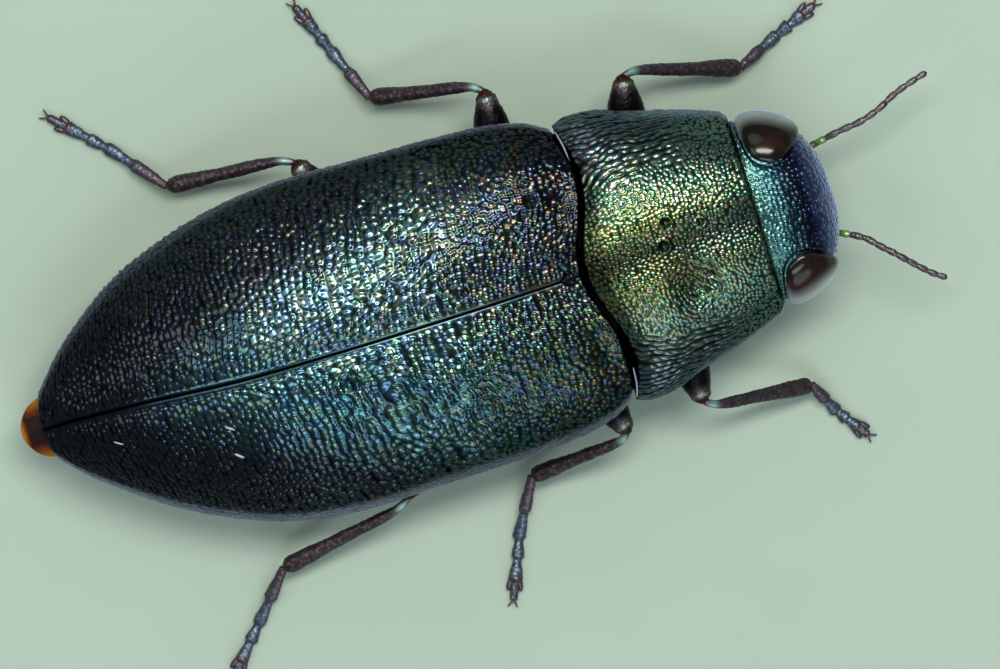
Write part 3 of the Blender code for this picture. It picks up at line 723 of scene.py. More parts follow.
def amber_cuticle():
    """Unpigmented chitin, amber at the thin sides and dark red-brown down the middle."""
    material, tree, shader = new_material("amber_cuticle", Roughness=0.5, IOR=1.5, Specular_IOR_Level=0.1)
    place = add(tree, "ShaderNodeSeparateXYZ", {0: add(tree, "ShaderNodeTexCoord").outputs["Object"]})
    side = add(tree, "ShaderNodeMath", {0: place.outputs[0]}, operation="ABSOLUTE")
    middle = add(tree, "ShaderNodeMapRange", {0: side.outputs[0], 1: 0.0, 2: TAIL_HIGH[0] * MM})
    tip = add(tree, "ShaderNodeMapRange", {0: place.outputs[1], 1: (TAIL_HIGH[1] - 0.14) * MM,
                                           2: TAIL_HIGH[1] * MM})
    out = add(tree, "ShaderNodeMath", {0: middle.outputs[0], 1: tip.outputs[0]}, operation="MAXIMUM")
    body = add(tree, "ShaderNodeValToRGB", {0: out.outputs[0]}, stops=(
        (0.0, "#160808"), (0.4, "#200c08"), (0.6, "#5c2c08"), (0.85, "#94600e"), (1.0, "#946c14")))
    feed(tree, shader, Base_Color=body.outputs[0])
    return material


def pale_skin_and_painted_edge_glint():
    """Soft unhardened skin between plates, pale and slightly moist; on the corner slivers the paleness is
    also a painted highlight of the plates' edge.
    """
    material, tree, shader = new_material("pale_skin_and_painted_edge_glint", Roughness=0.35)
    place = add(tree, "ShaderNodeTexCoord")
    folds = add(tree, "ShaderNodeTexNoise", {"Vector": place.outputs["Object"], "Scale": 1 / (0.08 * MM)})
    body = add(tree, "ShaderNodeValToRGB", {0: folds.outputs[0]}, stops=((0.3, "#8c94a4"), (0.8, "#a4aab4")))
    feed(tree, shader, Base_Color=body.outputs[0])
    return material


def floor_card():
    """Matt card, pale sage green."""
    material, tree, shader = new_material("floor_card", Roughness=0.95)
    place = add(tree, "ShaderNodeTexCoord")
    pulp = add(tree, "ShaderNodeTexNoise", {"Vector": place.outputs["Object"], "Scale": 1 / (2.0 * MM)})
    body = add(tree, "ShaderNodeValToRGB", {0: pulp.outputs[0]}, stops=((0.3, "#96a899"), (0.7, "#98aa9b")))
    feed(tree, shader, Base_Color=body.outputs[0])
    return material


# Wing cases

def wing_case(side, material, seed):
    """One wing case: grained above, ridged along the seam, turned under at its edge and hollow below."""
    rows, top_columns, under_columns = 512, 184, 9
    share = np.linspace(0.0, 1.0, rows)[:, None]
    long = CASE_HIGH[1] - CASE_FRONT
    y = CASE_FRONT + share * long
    half = CASE_HIGH[0] * read(CASE_OUTLINE, share)
    saw = np.abs(np.sin(math.pi * y / EDGE_TEETH + 2.0 * drift(y, 0 * y, 0.4, seed)))
    half = half + 0.01 * ease(0.6, 0.72, share) * (1.0 - 2.0 * saw)
    edge, flat = CASE_HIGH[2] * read(CASE_EDGE, share), read(CASE_FLATNESS, share)

    # The upper skin, from the wall at the seam over the back to the lip that turns under
    x = np.maximum(np.sin(np.linspace(0.0, math.pi / 2, 260))[None, :] * half, 0.007)
    z = case_top(x, share)
    for high, out, wide, back, deep in CASE_SWELLS:
        z = z + high * hump(x, out, wide) * hump(y, back, deep)
    z = z + 0.014 * drift(x, y, 0.55, seed + 1) * ease(0.0, 0.4, x)
    z = z - 0.06 * (1.0 - np.clip(share * long / 0.05, 0.0, 1.0)) ** 2
    seam = [np.concatenate([0 * y + 0.003, y, z[:, :1] - drop], axis=1) for drop in (SEAM_WALL, 0.012)]
    lip = [np.concatenate([half - pull, y, edge - drop], axis=1)
           for pull, drop in ((0.01, 0.05), (0.05, 0.09), (0.14, 0.1))]
    sheet = even(np.concatenate([np.stack(seam, axis=1), sides(x, y, z), np.stack(lip, axis=1)], axis=1),
                 top_columns)

    # The hollow underside
    inner = np.linspace(1.0, 0.0, under_columns + 2)[None, 1:-1]
    under = sides(np.maximum(inner * (half - 0.16), 0.03), y,
                  dome(inner, 1.0, edge - 0.1, np.maximum(z[:, :1] - 0.2, edge - 0.09), flat))

    # The dull rim with its painted reflection, the grain and the marks that the finish reads
    reach = reach_of(sheet) - SEAM_WALL
    inwards = half - sheet[..., 0]
    inwards[:, -11:] = 0.0
    # The painted reflection on the rim is kept thin on the left wing case and made wider and stronger on the
    # right
    if side > 0:
        near_tail = 0.1 * ease(0.5, 0.75, share)
        rim = 0.6 * ease(RIM_LEFT[0] + near_tail, RIM_LEFT[1] + near_tail / 2, inwards)
    else:
        rim = (0.6 + 0.35 * ease(0.2, 0.6, share)) * ease(*RIM_RIGHT, inwards)
    relief, tone, height = case_relief(reach, sheet[..., 0], sheet[..., 1], share, rim, seed)
    height = height - 0.01 * hump(rim, 0.15, 0.15) * ease(0.04, 0.1, share)
    blank = np.ones((rows, under_columns))
    # The hollow underside gets a low relief mark, so painted shade darkens it
    marks = {"relief": round_under(relief, 0.3 * blank), "tone": round_under(tone, blank),
             "rim": round_under(rim, 0.0 * blank)}
    part = rings_part(round_under(sheet, under), marks)
    rise = np.append(round_under(height, 0.0 * blank).ravel(), (0.0, 0.0))
    points = part["points"] + outward(part) * rise[:, None]

    # The front end follows the collar, and the tip is round and leans to the left
    share = np.clip((points[:, 1] - CASE_FRONT) / long, 0.0, 1.0)
    gap = CASE_GAP + (0.06 * hump(points[:, 0], 1.2, 0.35) if side < 0 else 0.0)
    points[:, 1] += (1.0 - share) ** 6 * (collar(points[:, 0]) + gap)
    points[:, 1] -= share ** 12 * TIP_DRAW * (points[:, 0] / (TIP_WIDTH * CASE_HIGH[0])) ** 2
    points[:, 0] += side * CASE_LEAN * ease(0.6, 0.86, share) * (1.0 - 0.4 * ease(0.94, 1.0, share))
    part["points"] = points
    name = SIDE_NAME[side]
    return solid("wing_case_" + name, [mirrored(part, side)], material, "elytra_cuticle", "elytron_" + name)


def case_relief(reach, x, y, share, rim, seed):
    """Grains in cross rows that merge into short wrinkles, fine at shoulder and rim, with a few dents."""
    outwards, backwards = np.maximum(reach - 0.9, 0.0), np.maximum(y - 1.4, 0.0)
    finer = np.minimum(1.0 / (1.0 + 0.42 * outwards), 1.0 / (1.0 + 0.22 * backwards))
    a = reach + 0.21 * outwards ** 2 + 0.03 * drift(reach, y, 0.3, seed + 2)
    b = y + 0.11 * backwards ** 2 + 0.16 * reach + 0.05 * drift(reach, y, 0.5, seed + 3)
    b = b + 0.02 * drift(reach, y, 0.17, seed + 4)
    first, tone, slant = grains(a, b, CASE_GRAIN[0], CASE_GRAIN[1], 0.26, seed + 5, 0.3)
    fine, fine_tone, fine_slant = grains(reach, y, 0.068, 0.068, 0.34, seed + 7)
    rows_show = (y + 0.3 * drift(reach, y, 0.4, seed + 8) > 0.35) & (rim < 0.5)
    grain = np.where(rows_show, 1.0 - ease(0.0, 0.74, first), 0.7 * (1.0 - ease(0.0, 0.74, fine)))
    tone, slant = np.where(rows_show, tone, fine_tone), np.where(rows_show, slant, fine_slant)
    tilt = 0.9 + 0.8 * np.maximum(ease(1.0, 1.5, reach), ease(3.4, 4.4, y))
    bold = (1.0 + 0.45 * drift(reach, y, 0.15, seed + 6) + tilt * slant) * (1.0 + 0.5 * ease(1.0, 2.0, reach))
    height = CASE_RELIEF * finer * bold * grain * ease(0.03, 0.075, reach) * (1.0 - 0.35 * rim)
    height = height + 0.005 * hump(reach, 0.03, 0.012)
    height = height - 0.012 * ease(0.25, 0.5, share) * hump(reach, 0.065, 0.016)
    for place, wide, deep in CASE_DENTS[seed]:
        away = np.hypot(x - place[0], y - place[1]) / wide
        height = height - deep * hump(away, 0.0, 0.8) + 0.3 * deep * hump(away, 1.35, 0.3)
    # Painted shade: the relief mark falls to nothing at the front lip by the collar and at the seam's wall,
    # colouring them near black
    at_front = ease(0.0, 0.004, share)
    at_seam = ease(0.008, 0.03, reach)
    return np.where(reach < 0.045, 0.6 * at_seam, grain) * at_front, tone, height * at_front


def shield(material):
    """The scutellum, a small three-sided plate between the wing cases and the prothorax."""
    low, high = box_of("scutellum")
    part = ball_part(24)
    x, y, z = part["points"].T
    taper = 1.0 - 0.85 * ease(-0.9, 1.0, y)
    middle = (low + high) / 2
    part["points"] = middle + np.stack([x * taper * 0.11, y * 0.12 + 0.02, 0.04 * z + 0.1 - 0.03 * y], axis=1)
    part = grained(part, 0.04, 0.003, 5)
    # Painted shade: a low relief mark mixes the whole plate towards near black where it sits between the
    # plates
    part["marks"]["relief"] = part["marks"]["relief"] * 0.12
    return solid("scutellum_plate", [part], material, "elytra_cuticle", "scutellum")


def bristles(material):
    """Three short pale hairs lying on the right wing case."""
    parts = []
    steps = 16
    taper = np.sin(np.linspace(0.15, math.pi - 0.15, steps)) ** 0.5
    for x, y, turn, wide in BRISTLES:
        share = np.array([[(y - CASE_FRONT) / (CASE_HIGH[1] - CASE_FRONT)]])
        z = case_top(np.abs(np.array([[x]])), share)[0, 0] + 0.02
        way = np.array((math.cos(math.radians(turn)), math.sin(math.radians(turn)), 0.0))
        bent = [(x, y, z) + way * step - (0.0, 0.0, 4.0 * step ** 2) for step in (-0.06, 0.0, 0.06)]
        parts.append(tube_part(path_through(bent, steps), wide * taper, wide * taper, 8))
    return solid("bristles", parts, material, "underside_cuticle", "elytron_right")


# Prothorax

def pronotum(material):
    """The shield behind the head, closed all round: grained above, wrinkled at its sides, punctured below."""
    rows, top_columns, under_columns = 218, 396, 58
    share = np.linspace(0.0, 1.0, rows)[:, None]
    half = THORAX_HIGH[0] * read(THORAX_OUTLINE, share)
    crest, edge, belly = (THORAX_HIGH[2] * read(line, share)
                          for line in (THORAX_CREST, THORAX_EDGE, THORAX_BELLY))
    at_neck, at_collar = (1.0 - ease(0.0, 0.03, share)), ease(0.985, 1.0, share)
    half = half * (1.0 - 0.03 * at_neck - 0.02 * at_collar)
    crest = crest - 0.06 * at_neck - 0.03 * at_collar
    straight = THORAX_LOW[1] - 0.05 + share * (THORAX_HIGH[1] + 0.05 - THORAX_LOW[1])

    # The back: a dome with a hollow, a dip at each side and one along the middle
    x = np.sin(np.linspace(-math.pi / 2, math.pi / 2, 400))[None, :] * half
    y = straight + share ** 3 * collar(x)
    z = dome(x, half, edge, crest, THORAX_FLATNESS)
    z = z - HOLLOW_DEPTH * hump(np.hypot(x - HOLLOW[0], y - HOLLOW[1]), 0.0, HOLLOW_WIDTH)
    z = z + 0.01 * drift(x, y, 0.5, 21)
    z = z - 0.03 * hump(np.abs(x), 1.2, 0.22) * hump(y, -1.55, 0.25)
    z = z - 0.035 * hump(x, 0.04, 0.27) * ease(-1.4, -2.0, y)
    sheet = even(sides(x, y, z), top_columns)

    # The underside, with a low keel along the middle
    back = np.cos(math.pi * (np.arange(under_columns)[None, :] + 0.7) / (under_columns + 0.4))
    under_x = back * half * 0.985
    under_y = straight + share ** 3 * collar(under_x)
    under_z = edge - (edge - belly) * (1.0 - np.abs(back) ** 2.2) ** 0.5
    under_z = under_z - 0.05 * hump(under_x, 0.0, 0.2) + 0.04 * hump(under_x, 0.0, 0.06)

    # Grain above and punctures below
    reach = reach_of(sheet)
    reach = reach - reach[:, top_columns // 2, None]
    relief, tone, height = pronotum_relief(reach, sheet[..., 0], sheet[..., 1])
    height = height * (1.0 - at_neck) * (1.0 - at_collar)
    # Painted shade: the relief mark is turned down at the neck and the collar, darkening the lines between
    # plates
    relief = relief * (1.0 - 0.6 * at_neck) * (1.0 - 0.6 * at_collar) + 0.15 * at_neck
    pit, under_tone, _ = grains(under_x, under_y, 0.1, 0.09, 0.3, 23)
    pit = ease(0.1, 0.4, pit)
    # The rim at the sides towards the neck takes the painted reflection
    rim = 0.8 * ease(0.93, 0.99, np.abs(sheet[..., 0]) / half) * (1.0 - ease(0.3, 0.75, share))
    # Painted shade: below, the middles of the punctures get a low relief mark and so are darkened
    marks = {"relief": round_under(relief, 0.4 + 0.5 * pit), "tone": round_under(tone, under_tone),
             "rim": round_under(rim, 0.0 * pit)}
    part = rings_part(round_under(sheet, sides(under_x, under_y, under_z)), marks)
    rise = np.append(round_under(height, 0.01 * pit).ravel(), (0.0, 0.0))
    part["points"] = part["points"] + outward(part) * rise[:, None]
    return solid("pronotum", [part], material, "pronotum_cuticle", "prothorax")


def pronotum_relief(reach, x, y):
    """Fine grains in the middle, wrinkles down the sides that curl inwards, and rings round a hollow."""
    side = np.abs(reach)
    warp, weft = 0.03 * drift(reach, y, 0.25, 24), 0.03 * drift(reach, y, 0.3, 25)
    fine, tone, slant = grains(reach + warp, y + weft, PRONOTUM_GRAIN, PRONOTUM_GRAIN, 0.34, 26)
    fine = (1.0 - ease(0.0, 0.74, fine)) * (1.0 + 0.9 * slant)
    curl = 0.3 * np.maximum(y + 2.3, 0.0) ** 2 * hump(side, 0.95, 0.35)
    lines = side + curl + 0.035 * drift(reach, y, 0.3, 27) + 0.012 * drift(reach, y, 0.1, 28)
    long, _, slant = grains(y, lines, 0.12, PRONOTUM_WRINKLE, 0.26, 29, 0.5)
    long = (1.0 - ease(0.0, 0.52, long)) * (1.0 + 0.7 * slant)
    away = np.hypot(x - HOLLOW[0], y - HOLLOW[1])
    turn = np.arctan2(y - HOLLOW[1], x - HOLLOW[0])
    ring, _, _ = grains(turn * 0.3, away + 0.08 * drift(x, y, 0.2, 30), 0.07, 0.062, 0.32, 31, 0.35)
    ring = 1.0 - ease(0.0, 0.55, ring)
    at_side = ease(0.92, 1.12, side + 0.1 * drift(reach, y, 0.3, 32)) * ease(-2.95, -2.6, y)
    at_ring = (1.0 - ease(0.2, 0.5, away)) * (1.0 - at_side)
    grain = fine * (1.0 - at_side) * (1.0 - at_ring) + long * at_side + 0.7 * ring * at_ring
    fine = fine * (1.0 - 0.4 * hump(x, 0.1, 0.35))
    height = fine * (1.0 - at_side) * (1.0 - at_ring) + 2.1 * long * at_side + 1.7 * ring * at_ring
    height = PRONOTUM_RELIEF * height
    for place, wide, deep in PRONOTUM_DENTS:
        away = np.hypot(x - place[0], y - place[1]) / wide
        height = height - deep * hump(away, 0.0, 0.8) + 0.35 * deep * hump(away, 1.35, 0.3)
        grain = grain * (1.0 - 0.8 * hump(away, 0.0, 0.7))
    return grain, tone, height


# Underside

def trunk(name, node, material, start, end, rows, belly_columns, seed, shape):
    """A stretch of trunk under the wing cases: a plain back, and a belly with its own shape and punctures."""
    back_columns = 26
    y = np.linspace(start, end, rows)[:, None]
    share = (y - CASE_FRONT) / (CASE_HIGH[1] - CASE_FRONT)
    half = CASE_HIGH[0] * read(CASE_OUTLINE, share) - TRUNK_INSET - TAIL_INSET * ease(0.65, 0.88, share)
    edge = CASE_HIGH[2] * read(CASE_EDGE, share) - 0.07
    crest = np.maximum(CASE_HIGH[2] * read(CASE_CREST, share) - 0.5, edge + 0.03)
    belly = CASE_HIGH[2] * read(BELLY_LINE, (y - BELLY_FRONT) / (ABDOMEN_HIGH[1] - BELLY_FRONT))
    t = np.sin(np.linspace(-math.pi / 2, math.pi / 2, back_columns))[None, :]
    pull = (1.0 - np.clip((y - start) / 2.7, 0.0, 1.0)) ** 3 if start < 0 else 0.0
    top = sides(t * half, y + pull * collar(t * half), dome(t, 1.0, edge, crest, 2.4))
    t = np.cos(math.pi * (np.arange(belly_columns)[None, :] + 0.6) / (belly_columns + 0.2))
    x = t * half
    z = edge - (edge - belly) * (1.0 - np.abs(t) ** 2.2) ** 0.5
    pit, tone, _ = grains(x, y + 0 * x, BELLY_GRAIN, 0.08, 0.35, seed)
    pit = ease(0.12, 0.36, pit)
    under = sides(x, y + pull * collar(x), z + shape(x, y) - 0.007 * pit)
    blank = np.ones((rows, back_columns))
    # The back gets no relief mark, which the belly's finish paints near black as shade in the gap under the
    # wing cases
    marks = {"relief": round_under(0.0 * blank, 0.2 + 0.8 * pit), "tone": round_under(0.5 * blank, tone)}
    return solid(name, [rings_part(round_under(top, under), marks)], material, "underside_cuticle", node)


def breast(x, y):
    """Seams of the breast: a middle line, a cross seam, side plates, and the rims of the hip sockets."""
    z = 0.025 * hump(x, 0.0, 0.018) * ease(-0.3, 0.0, y) + 0.03 * hump(y + 0.12 * np.abs(x), 1.32, 0.02)
    z = z + 0.03 * hump(y - 0.25 * np.abs(x), -0.42, 0.02) + 0.03 * hump(np.abs(x) + 0.12 * y, 1.36, 0.02)
    for node in ("coxa_mid_left", "coxa_rear_left"):
        low, high = box_of(node)
        middle = (low + high) / 2
        away = np.hypot(np.abs(x) - middle[0], y - middle[1])
        z = z + 0.16 * (1.0 - ease(0.2, 0.36, away)) - 0.02 * hump(away, 0.38, 0.03)
    return z


def plates(x, y):
    """Five belly plates, each tucked under the hind edge of the one before."""
    along = (y - ABDOMEN_LOW[1]) / (ABDOMEN_HIGH[1] - ABDOMEN_LOW[1]) * 5.0 - 0.25 * (x / 1.9) ** 2
    along = along % 1.0
    hind_edge = ease(0.97, 1.0, along)
    return PLATE_STEP * (1.0 - ease(0.0, 0.9, along)) * (1.0 - hind_edge) + PLATE_STEP * hind_edge


def tail(material):
    """The last segment, a rounded tongue of bare amber chitin."""
    share = np.sin(np.linspace(0.0, math.pi / 2, 70))
    half = (TAIL_HIGH[0] - TAIL_LOW[0]) / 2 * np.sqrt(np.maximum(1.0 - share ** 2.6, 0.0004))
    y = ABDOMEN_HIGH[1] - TAIL_ROOT + share * (TAIL_HIGH[1] + TAIL_ROOT - ABDOMEN_HIGH[1])
    half = half * (1.0 + 0.03 * drift(3.0 * share, 0 * share, 0.5, 43))
    turns = 96
    angle = -math.tau * np.arange(turns)[None, :] / turns
    x = half[:, None] * np.sign(np.cos(angle)) * np.abs(np.cos(angle)) ** 0.8
    thick = 0.085 * (half / half[0]) ** 0.6
    z = (TAIL_LOW[2] + TAIL_HIGH[2]) / 2 + thick[:, None] * np.sin(angle) - 0.03 * share[:, None] ** 2
    z = z + 0.012 * hump(x, 0.0, 0.05) - 0.02 * hump(np.abs(x), 0.2, 0.06)
    part = rings_part(sides(x, y[:, None], z))
    return solid("tail_tip_plate", [grained(part, 0.07, 0.004, 41)], material, "amber_cuticle", "tail_tip")


def edge_glint_sliver(side, material):
    """The pale skin that shows as a slit at a hind corner of the prothorax, its paleness partly a painted
    highlight of the plates' edge.
    """
    path = [(side * 1.3, THORAX_LOW[1] + 1.935, 2.03), (side * 1.5, THORAX_LOW[1] + 1.95, 1.93),
            (side * 1.68, THORAX_LOW[1] + 1.99, 1.75)]
    steps = 24
    taper = np.sin(np.linspace(0.02, math.pi - 0.02, steps)) ** 0.5
    part = tube_part(path_through(path, steps), 0.013 * taper, 0.04 * taper, 16)
    return solid("edge_glint_sliver_" + SIDE_NAME[side], [part], material, "underside_cuticle", "hind_thorax")


# Head

def head_surface(directions):
    """Points of the squared ball that the head is, from unit directions."""
    size = np.sum(np.abs(directions) ** HEAD_SQUARENESS, axis=1) ** (-1 / HEAD_SQUARENESS)
    radii = np.where(directions < 0, HEAD_MIDDLE - HEAD_LOW, HEAD_HIGH - HEAD_MIDDLE)
    return HEAD_MIDDLE + directions * size[:, None] * radii


def from_eye_middle(directions):
    """How far out on an eye each direction from the head's middle points: 0 at its middle, 1 at its rim."""
    around = np.arctan2(directions[:, 1], np.abs(directions[:, 0]))
    upward = np.arcsin(np.clip(directions[:, 2], -1.0, 1.0))
    away = np.abs(np.stack([around, upward], axis=1) - EYE_MIDDLE) / EYE_SPREAD
    return np.sum(away ** EYE_SQUARENESS, axis=1) ** (1.0 / EYE_SQUARENESS)


def head_capsule(material):
    """The head's shell: grained, sunk under the eyes, with a line down the crown and feeler sockets."""
    part = ball_part(128)
    from_eye = from_eye_middle(part["points"])
    part["points"] = head_surface(part["points"])
    x, y, z = part["points"].T
    from_feeler = np.linalg.norm(np.stack([np.abs(x), y, z], axis=1) - FEELER_SOCKET, axis=1)
    rise = -0.05 * hump(x, 0.0, 0.35) * hump(z, 1.25, 0.3) * ease(-3.9, -4.2, y)
    rise = rise - 0.01 * hump(x, 0.0, 0.02) * ease(1.7, 1.9, z) * ease(-3.5, -3.6, y)
    rise = rise - 0.012 * hump(from_eye, 1.03, 0.035) + 0.01 * hump(from_eye, 1.14, 0.06)
    rise = rise - 0.05 * (1.0 - ease(0.85, 1.02, from_eye))
    rise = rise - 0.09 * hump(from_feeler, 0.0, 0.09) + 0.03 * hump(from_feeler, 0.15, 0.04)
    rise = rise - 0.03 * hump(z + 0.15 * np.abs(x), 0.98, 0.03) * ease(-3.9, -4.1, y)
    part["points"] = part["points"] + outward(part) * rise[:, None]
    smooth = 1.0 - 0.7 * hump(from_eye, 1.03, 0.05)
    part = grained(part, HEAD_GRAIN, HEAD_RELIEF, 51, where=smooth, packed=True)
    return solid("head_capsule", [part], material, "head_cuticle", "head")


def eye(side, material):
    """One eye: a tall smooth swelling of the head's side, let into the head all round its rim."""
    out = np.sin(np.linspace(0.01, math.pi / 2, 70))
    back = np.linspace(1.0, 0.02, 14)[1:]
    reach = np.concatenate([out, back])[:, None]
    full = np.sqrt(1.0 - np.minimum(reach, 1.0) ** 4)
    rise = np.where(np.arange(len(reach))[:, None] < len(out), 0.012 + EYE_SWELL * full, -0.04 - 0.1 * full)
    turns = 140
    turn = -math.tau * np.arange(turns)[None, :] / turns
    bend = 2.0 / EYE_SQUARENESS
    around = EYE_MIDDLE[0] + EYE_SPREAD[0] * reach * np.sign(np.cos(turn)) * np.abs(np.cos(turn)) ** bend
    upward = EYE_MIDDLE[1] + EYE_SPREAD[1] * reach * np.sign(np.sin(turn)) * np.abs(np.sin(turn)) ** bend
    level = np.cos(upward)
    directions = np.stack([level * np.cos(around), level * np.sin(around), np.sin(upward)], axis=-1)
    points = head_surface(directions.reshape(-1, 3)).reshape(directions.shape) + rise[..., None] * directions
    name = SIDE_NAME[side]
    return solid("eyeball_" + name, [mirrored(rings_part(points), side)], material, "eye_lens", "eye_" + name)


def jaws(material):
    """Upper lip, two biting jaws and two pairs of palps."""
    low, high = box_of("mouthparts")
    middle, half = (low + high) / 2, (high - low) / 2
    lip = ball_part(30)
    lip["points"] = middle + lip["points"] * half * (0.62, 0.42, 0.5) + (0.0, -0.1, 0.06)
    floor = ball_part(30)
    floor["points"] = middle + floor["points"] * half * (0.9, 0.75, 0.6) + (0.0, 0.04, -0.04)
    parts = [grained(lip, 0.05, 0.004, 61), grained(floor, 0.07, 0.006, 62)]
    for side in (1, -1):
        bite = [(0.34, 0.02, 0.0), (0.32, -0.16, -0.05), (0.2, -0.25, -0.1), (0.03, -0.27, -0.13)]
        path = path_through([middle + (side * px, py, pz) for px, py, pz in bite], 40)
        girth = read(((0.0, 0.01), (0.08, 0.1), (0.5, 0.085), (1.0, 0.012)), np.linspace(0.0, 1.0, 40))
        parts.append(tube_part(path, girth, girth, 24, {"tone": 0.4 + 0 * girth, "relief": 0.6 + 0 * girth}))
        for thick, points in PALPS:
            path = path_through([middle + (side * px, py, pz) for px, py, pz in points], 60)
            beads = 1.0 - 0.3 * np.abs(np.cos(math.pi * 1.5 * np.linspace(0.0, 1.0, 60))) ** 6
            girth = thick * beads * np.sin(np.linspace(0.05, math.pi - 0.05, 60)) ** 0.3
            marks = {"joint": 0.9 + 0 * girth, "relief": 0.6 + 0 * girth}
            parts.append(tube_part(path, girth, girth, 20, marks))
    return solid("jaws", parts, material, "leg_cuticle", "mouthparts")


def feeler(side, material):
    """A feeler of eleven beads: a brown root bead, a round one, then beads that widen towards their ends."""
    name = SIDE_NAME[side]
    centres = ring_centres("antenna_" + name, (0.0, -3.4, 1.5), FEELER_SIDES, 20)[::-1]
    centres = np.stack([np.convolve(centres[:, k], (1 / 3, 1 / 3, 1 / 3), "valid") for k in range(3)], axis=1)
    root = (side * FEELER_ROOT[0], FEELER_ROOT[1], FEELER_ROOT[2])
    points = np.concatenate([[root], centres[3::3], [centres[-1] + (0.0, -0.04, 0.0)]])
    steps = 420
    path = even([path_through(points, 200)], steps)[0]
    share = np.linspace(0.0, 1.0, steps)
    ends = np.array(FEELER_BEADS)
    bead = np.clip(np.searchsorted(ends, share, side="right") - 1, 0, 10)
    t = (share - ends[bead]) / (ends[bead + 1] - ends[bead])
    widest = np.where(bead == 0, 0.044, 0.045 - 0.0005 * bead)
    waist = np.where(bead < 2, 0.85, 0.72)
    girth = widest * (waist + (1.0 - waist) * np.sin(math.pi * np.clip(t, 0, 1) ** 1.5) ** 0.7)
    girth = girth * np.sqrt(np.clip((1.0 - share) / 0.02, 0.01, 1.0))
    marks = {"joint": 0.9 - 0.9 * ease(0.1, 0.2, share), "flush": 0.85 * hump(share, 0.17, 0.03)}
    part = tube_part(path, girth, girth * 0.85, 28, marks)
    return solid("feeler_" + name, [grained(part, 0.035, 0.004, 71 if side > 0 else 72)], material,
                 "feeler_cuticle", "antenna_" + name)


# Legs

def ring_centres(node, start, corners_round, count):
    """Centres of a tube's rings of corners, from the end that is farther from a place."""
    corners = np.unique(np.round(outline_of(node), 3), axis=0)
    middle = corners.mean(axis=0)
    axis = np.linalg.svd(corners - middle, full_matrices=False)[2][0]
    axis = axis if (np.asarray(start) - middle) @ axis > 0 else -axis
    far_first = corners[np.argsort(corners @ axis)]
    starts = range(0, count * corners_round, corners_round)
    return np.array([far_first[k:k + corners_round].mean(axis=0) for k in starts])


def crossing(a, b, c, d):
    """The place where the lines a to b and c to d come closest."""
    u, v, w = b - a, d - c, a - c
    s = ((u @ v) * (v @ w) - (v @ v) * (u @ w)) / ((u @ u) * (v @ v) - (u @ v) ** 2)
    return a + s * u


def leg(name, seed, chitin, toe):
    """A leg at its true girth, along the middle of its solids: hip, thigh, shin, foot and claws."""
    low, high = box_of("coxa_" + name)
    hip = (low + high) / 2
    thigh = ring_centres("femur_" + name, hip, LEG_SIDES, 3)
    shin = ring_centres("tibia_" + name, hip + (0.0, 0.0, 3.0), LEG_SIDES, 5)
    sole = ring_centres("tarsus_" + name, shin[0], LEG_SIDES, 7)[::-1]
    knee = crossing(hip, thigh[2], shin[2], shin[4])
    ankle = shin[2] + (shin[4] - shin[2]) * (ANKLE_HEIGHT - shin[2][2]) / (shin[4][2] - shin[2][2])

    socket = ball_part(26)
    socket["points"] = hip + socket["points"] * (high - low) / 2 * 0.88
    solid("hip_" + name, [grained(socket, LEG_GRAIN, 0.006, seed)], chitin, "leg_cuticle", "coxa_" + name)

    out = knee - hip
    bow = np.array((0.0, 0.0, 0.06))
    steps, turns = 150, 110
    path = path_through([hip + 0.15 * out, hip + 0.5 * out + bow, hip + 0.8 * out + bow, knee], steps)
    share = np.linalg.norm(path - hip, axis=1) / np.linalg.norm(out)
    girth = read(THIGH_GIRTH, share) * np.sqrt(np.clip((1.0 - share) / 0.05, 0.02, 1.0))
    # Painted highlight: a pale mint patch on the thigh's upper side by the knee
    upper = np.clip(-np.sin(math.tau * np.arange(turns) / turns), 0.0, 1.0) ** 2
    marks = {"joint": ease(0.86, 1.0, share), "flush": 0.3 * hump(share, 0.94, 0.014)[:, None] * upper}
    part = tube_part(path, girth, girth * 0.9, turns, marks)
    solid("thigh_" + name, [grained(part, LEG_GRAIN, 0.006, seed + 1, (0.15, 0.6))], chitin, "leg_cuticle",
          "femur_" + name)

    down = ankle - knee
    steps, turns = 170, 60
    path = path_through([knee - 0.03 * out / np.linalg.norm(out), knee + 0.12 * down + 0.02 * out,
                         knee + 0.5 * down + 0.012 * out, ankle], steps)
    share = np.linspace(0.0, 1.0, steps)
    share = (1.0 - np.cos(math.pi * share)) / 2.0
    girth = read(SHIN_GIRTH, share) * (1.0 + 0.06 * drift(2.2 * share, 0 * share, 0.2, seed))
    # Painted highlight: a pale mint band round the shin just below the knee
    marks = {"joint": 0.35 + 0.4 * ease(0.92, 1.0, share), "flush": 0.6 * hump(share, 0.08, 0.04)}
    part = tube_part(path, girth, girth * 0.85, turns, marks)
    where = 0.25 + 0.75 * ease(0.1, 0.25, np.append(np.repeat(share, turns), (0.0, 1.0)))
    part = grained(part, 1.2 * LEG_GRAIN, 0.007, seed + 2, (0.1, 0.7), where)
    solid("shin_" + name, [part], chitin, "leg_cuticle", "tibia_" + name)
    foot(name, seed + 3, ankle, sole, toe)


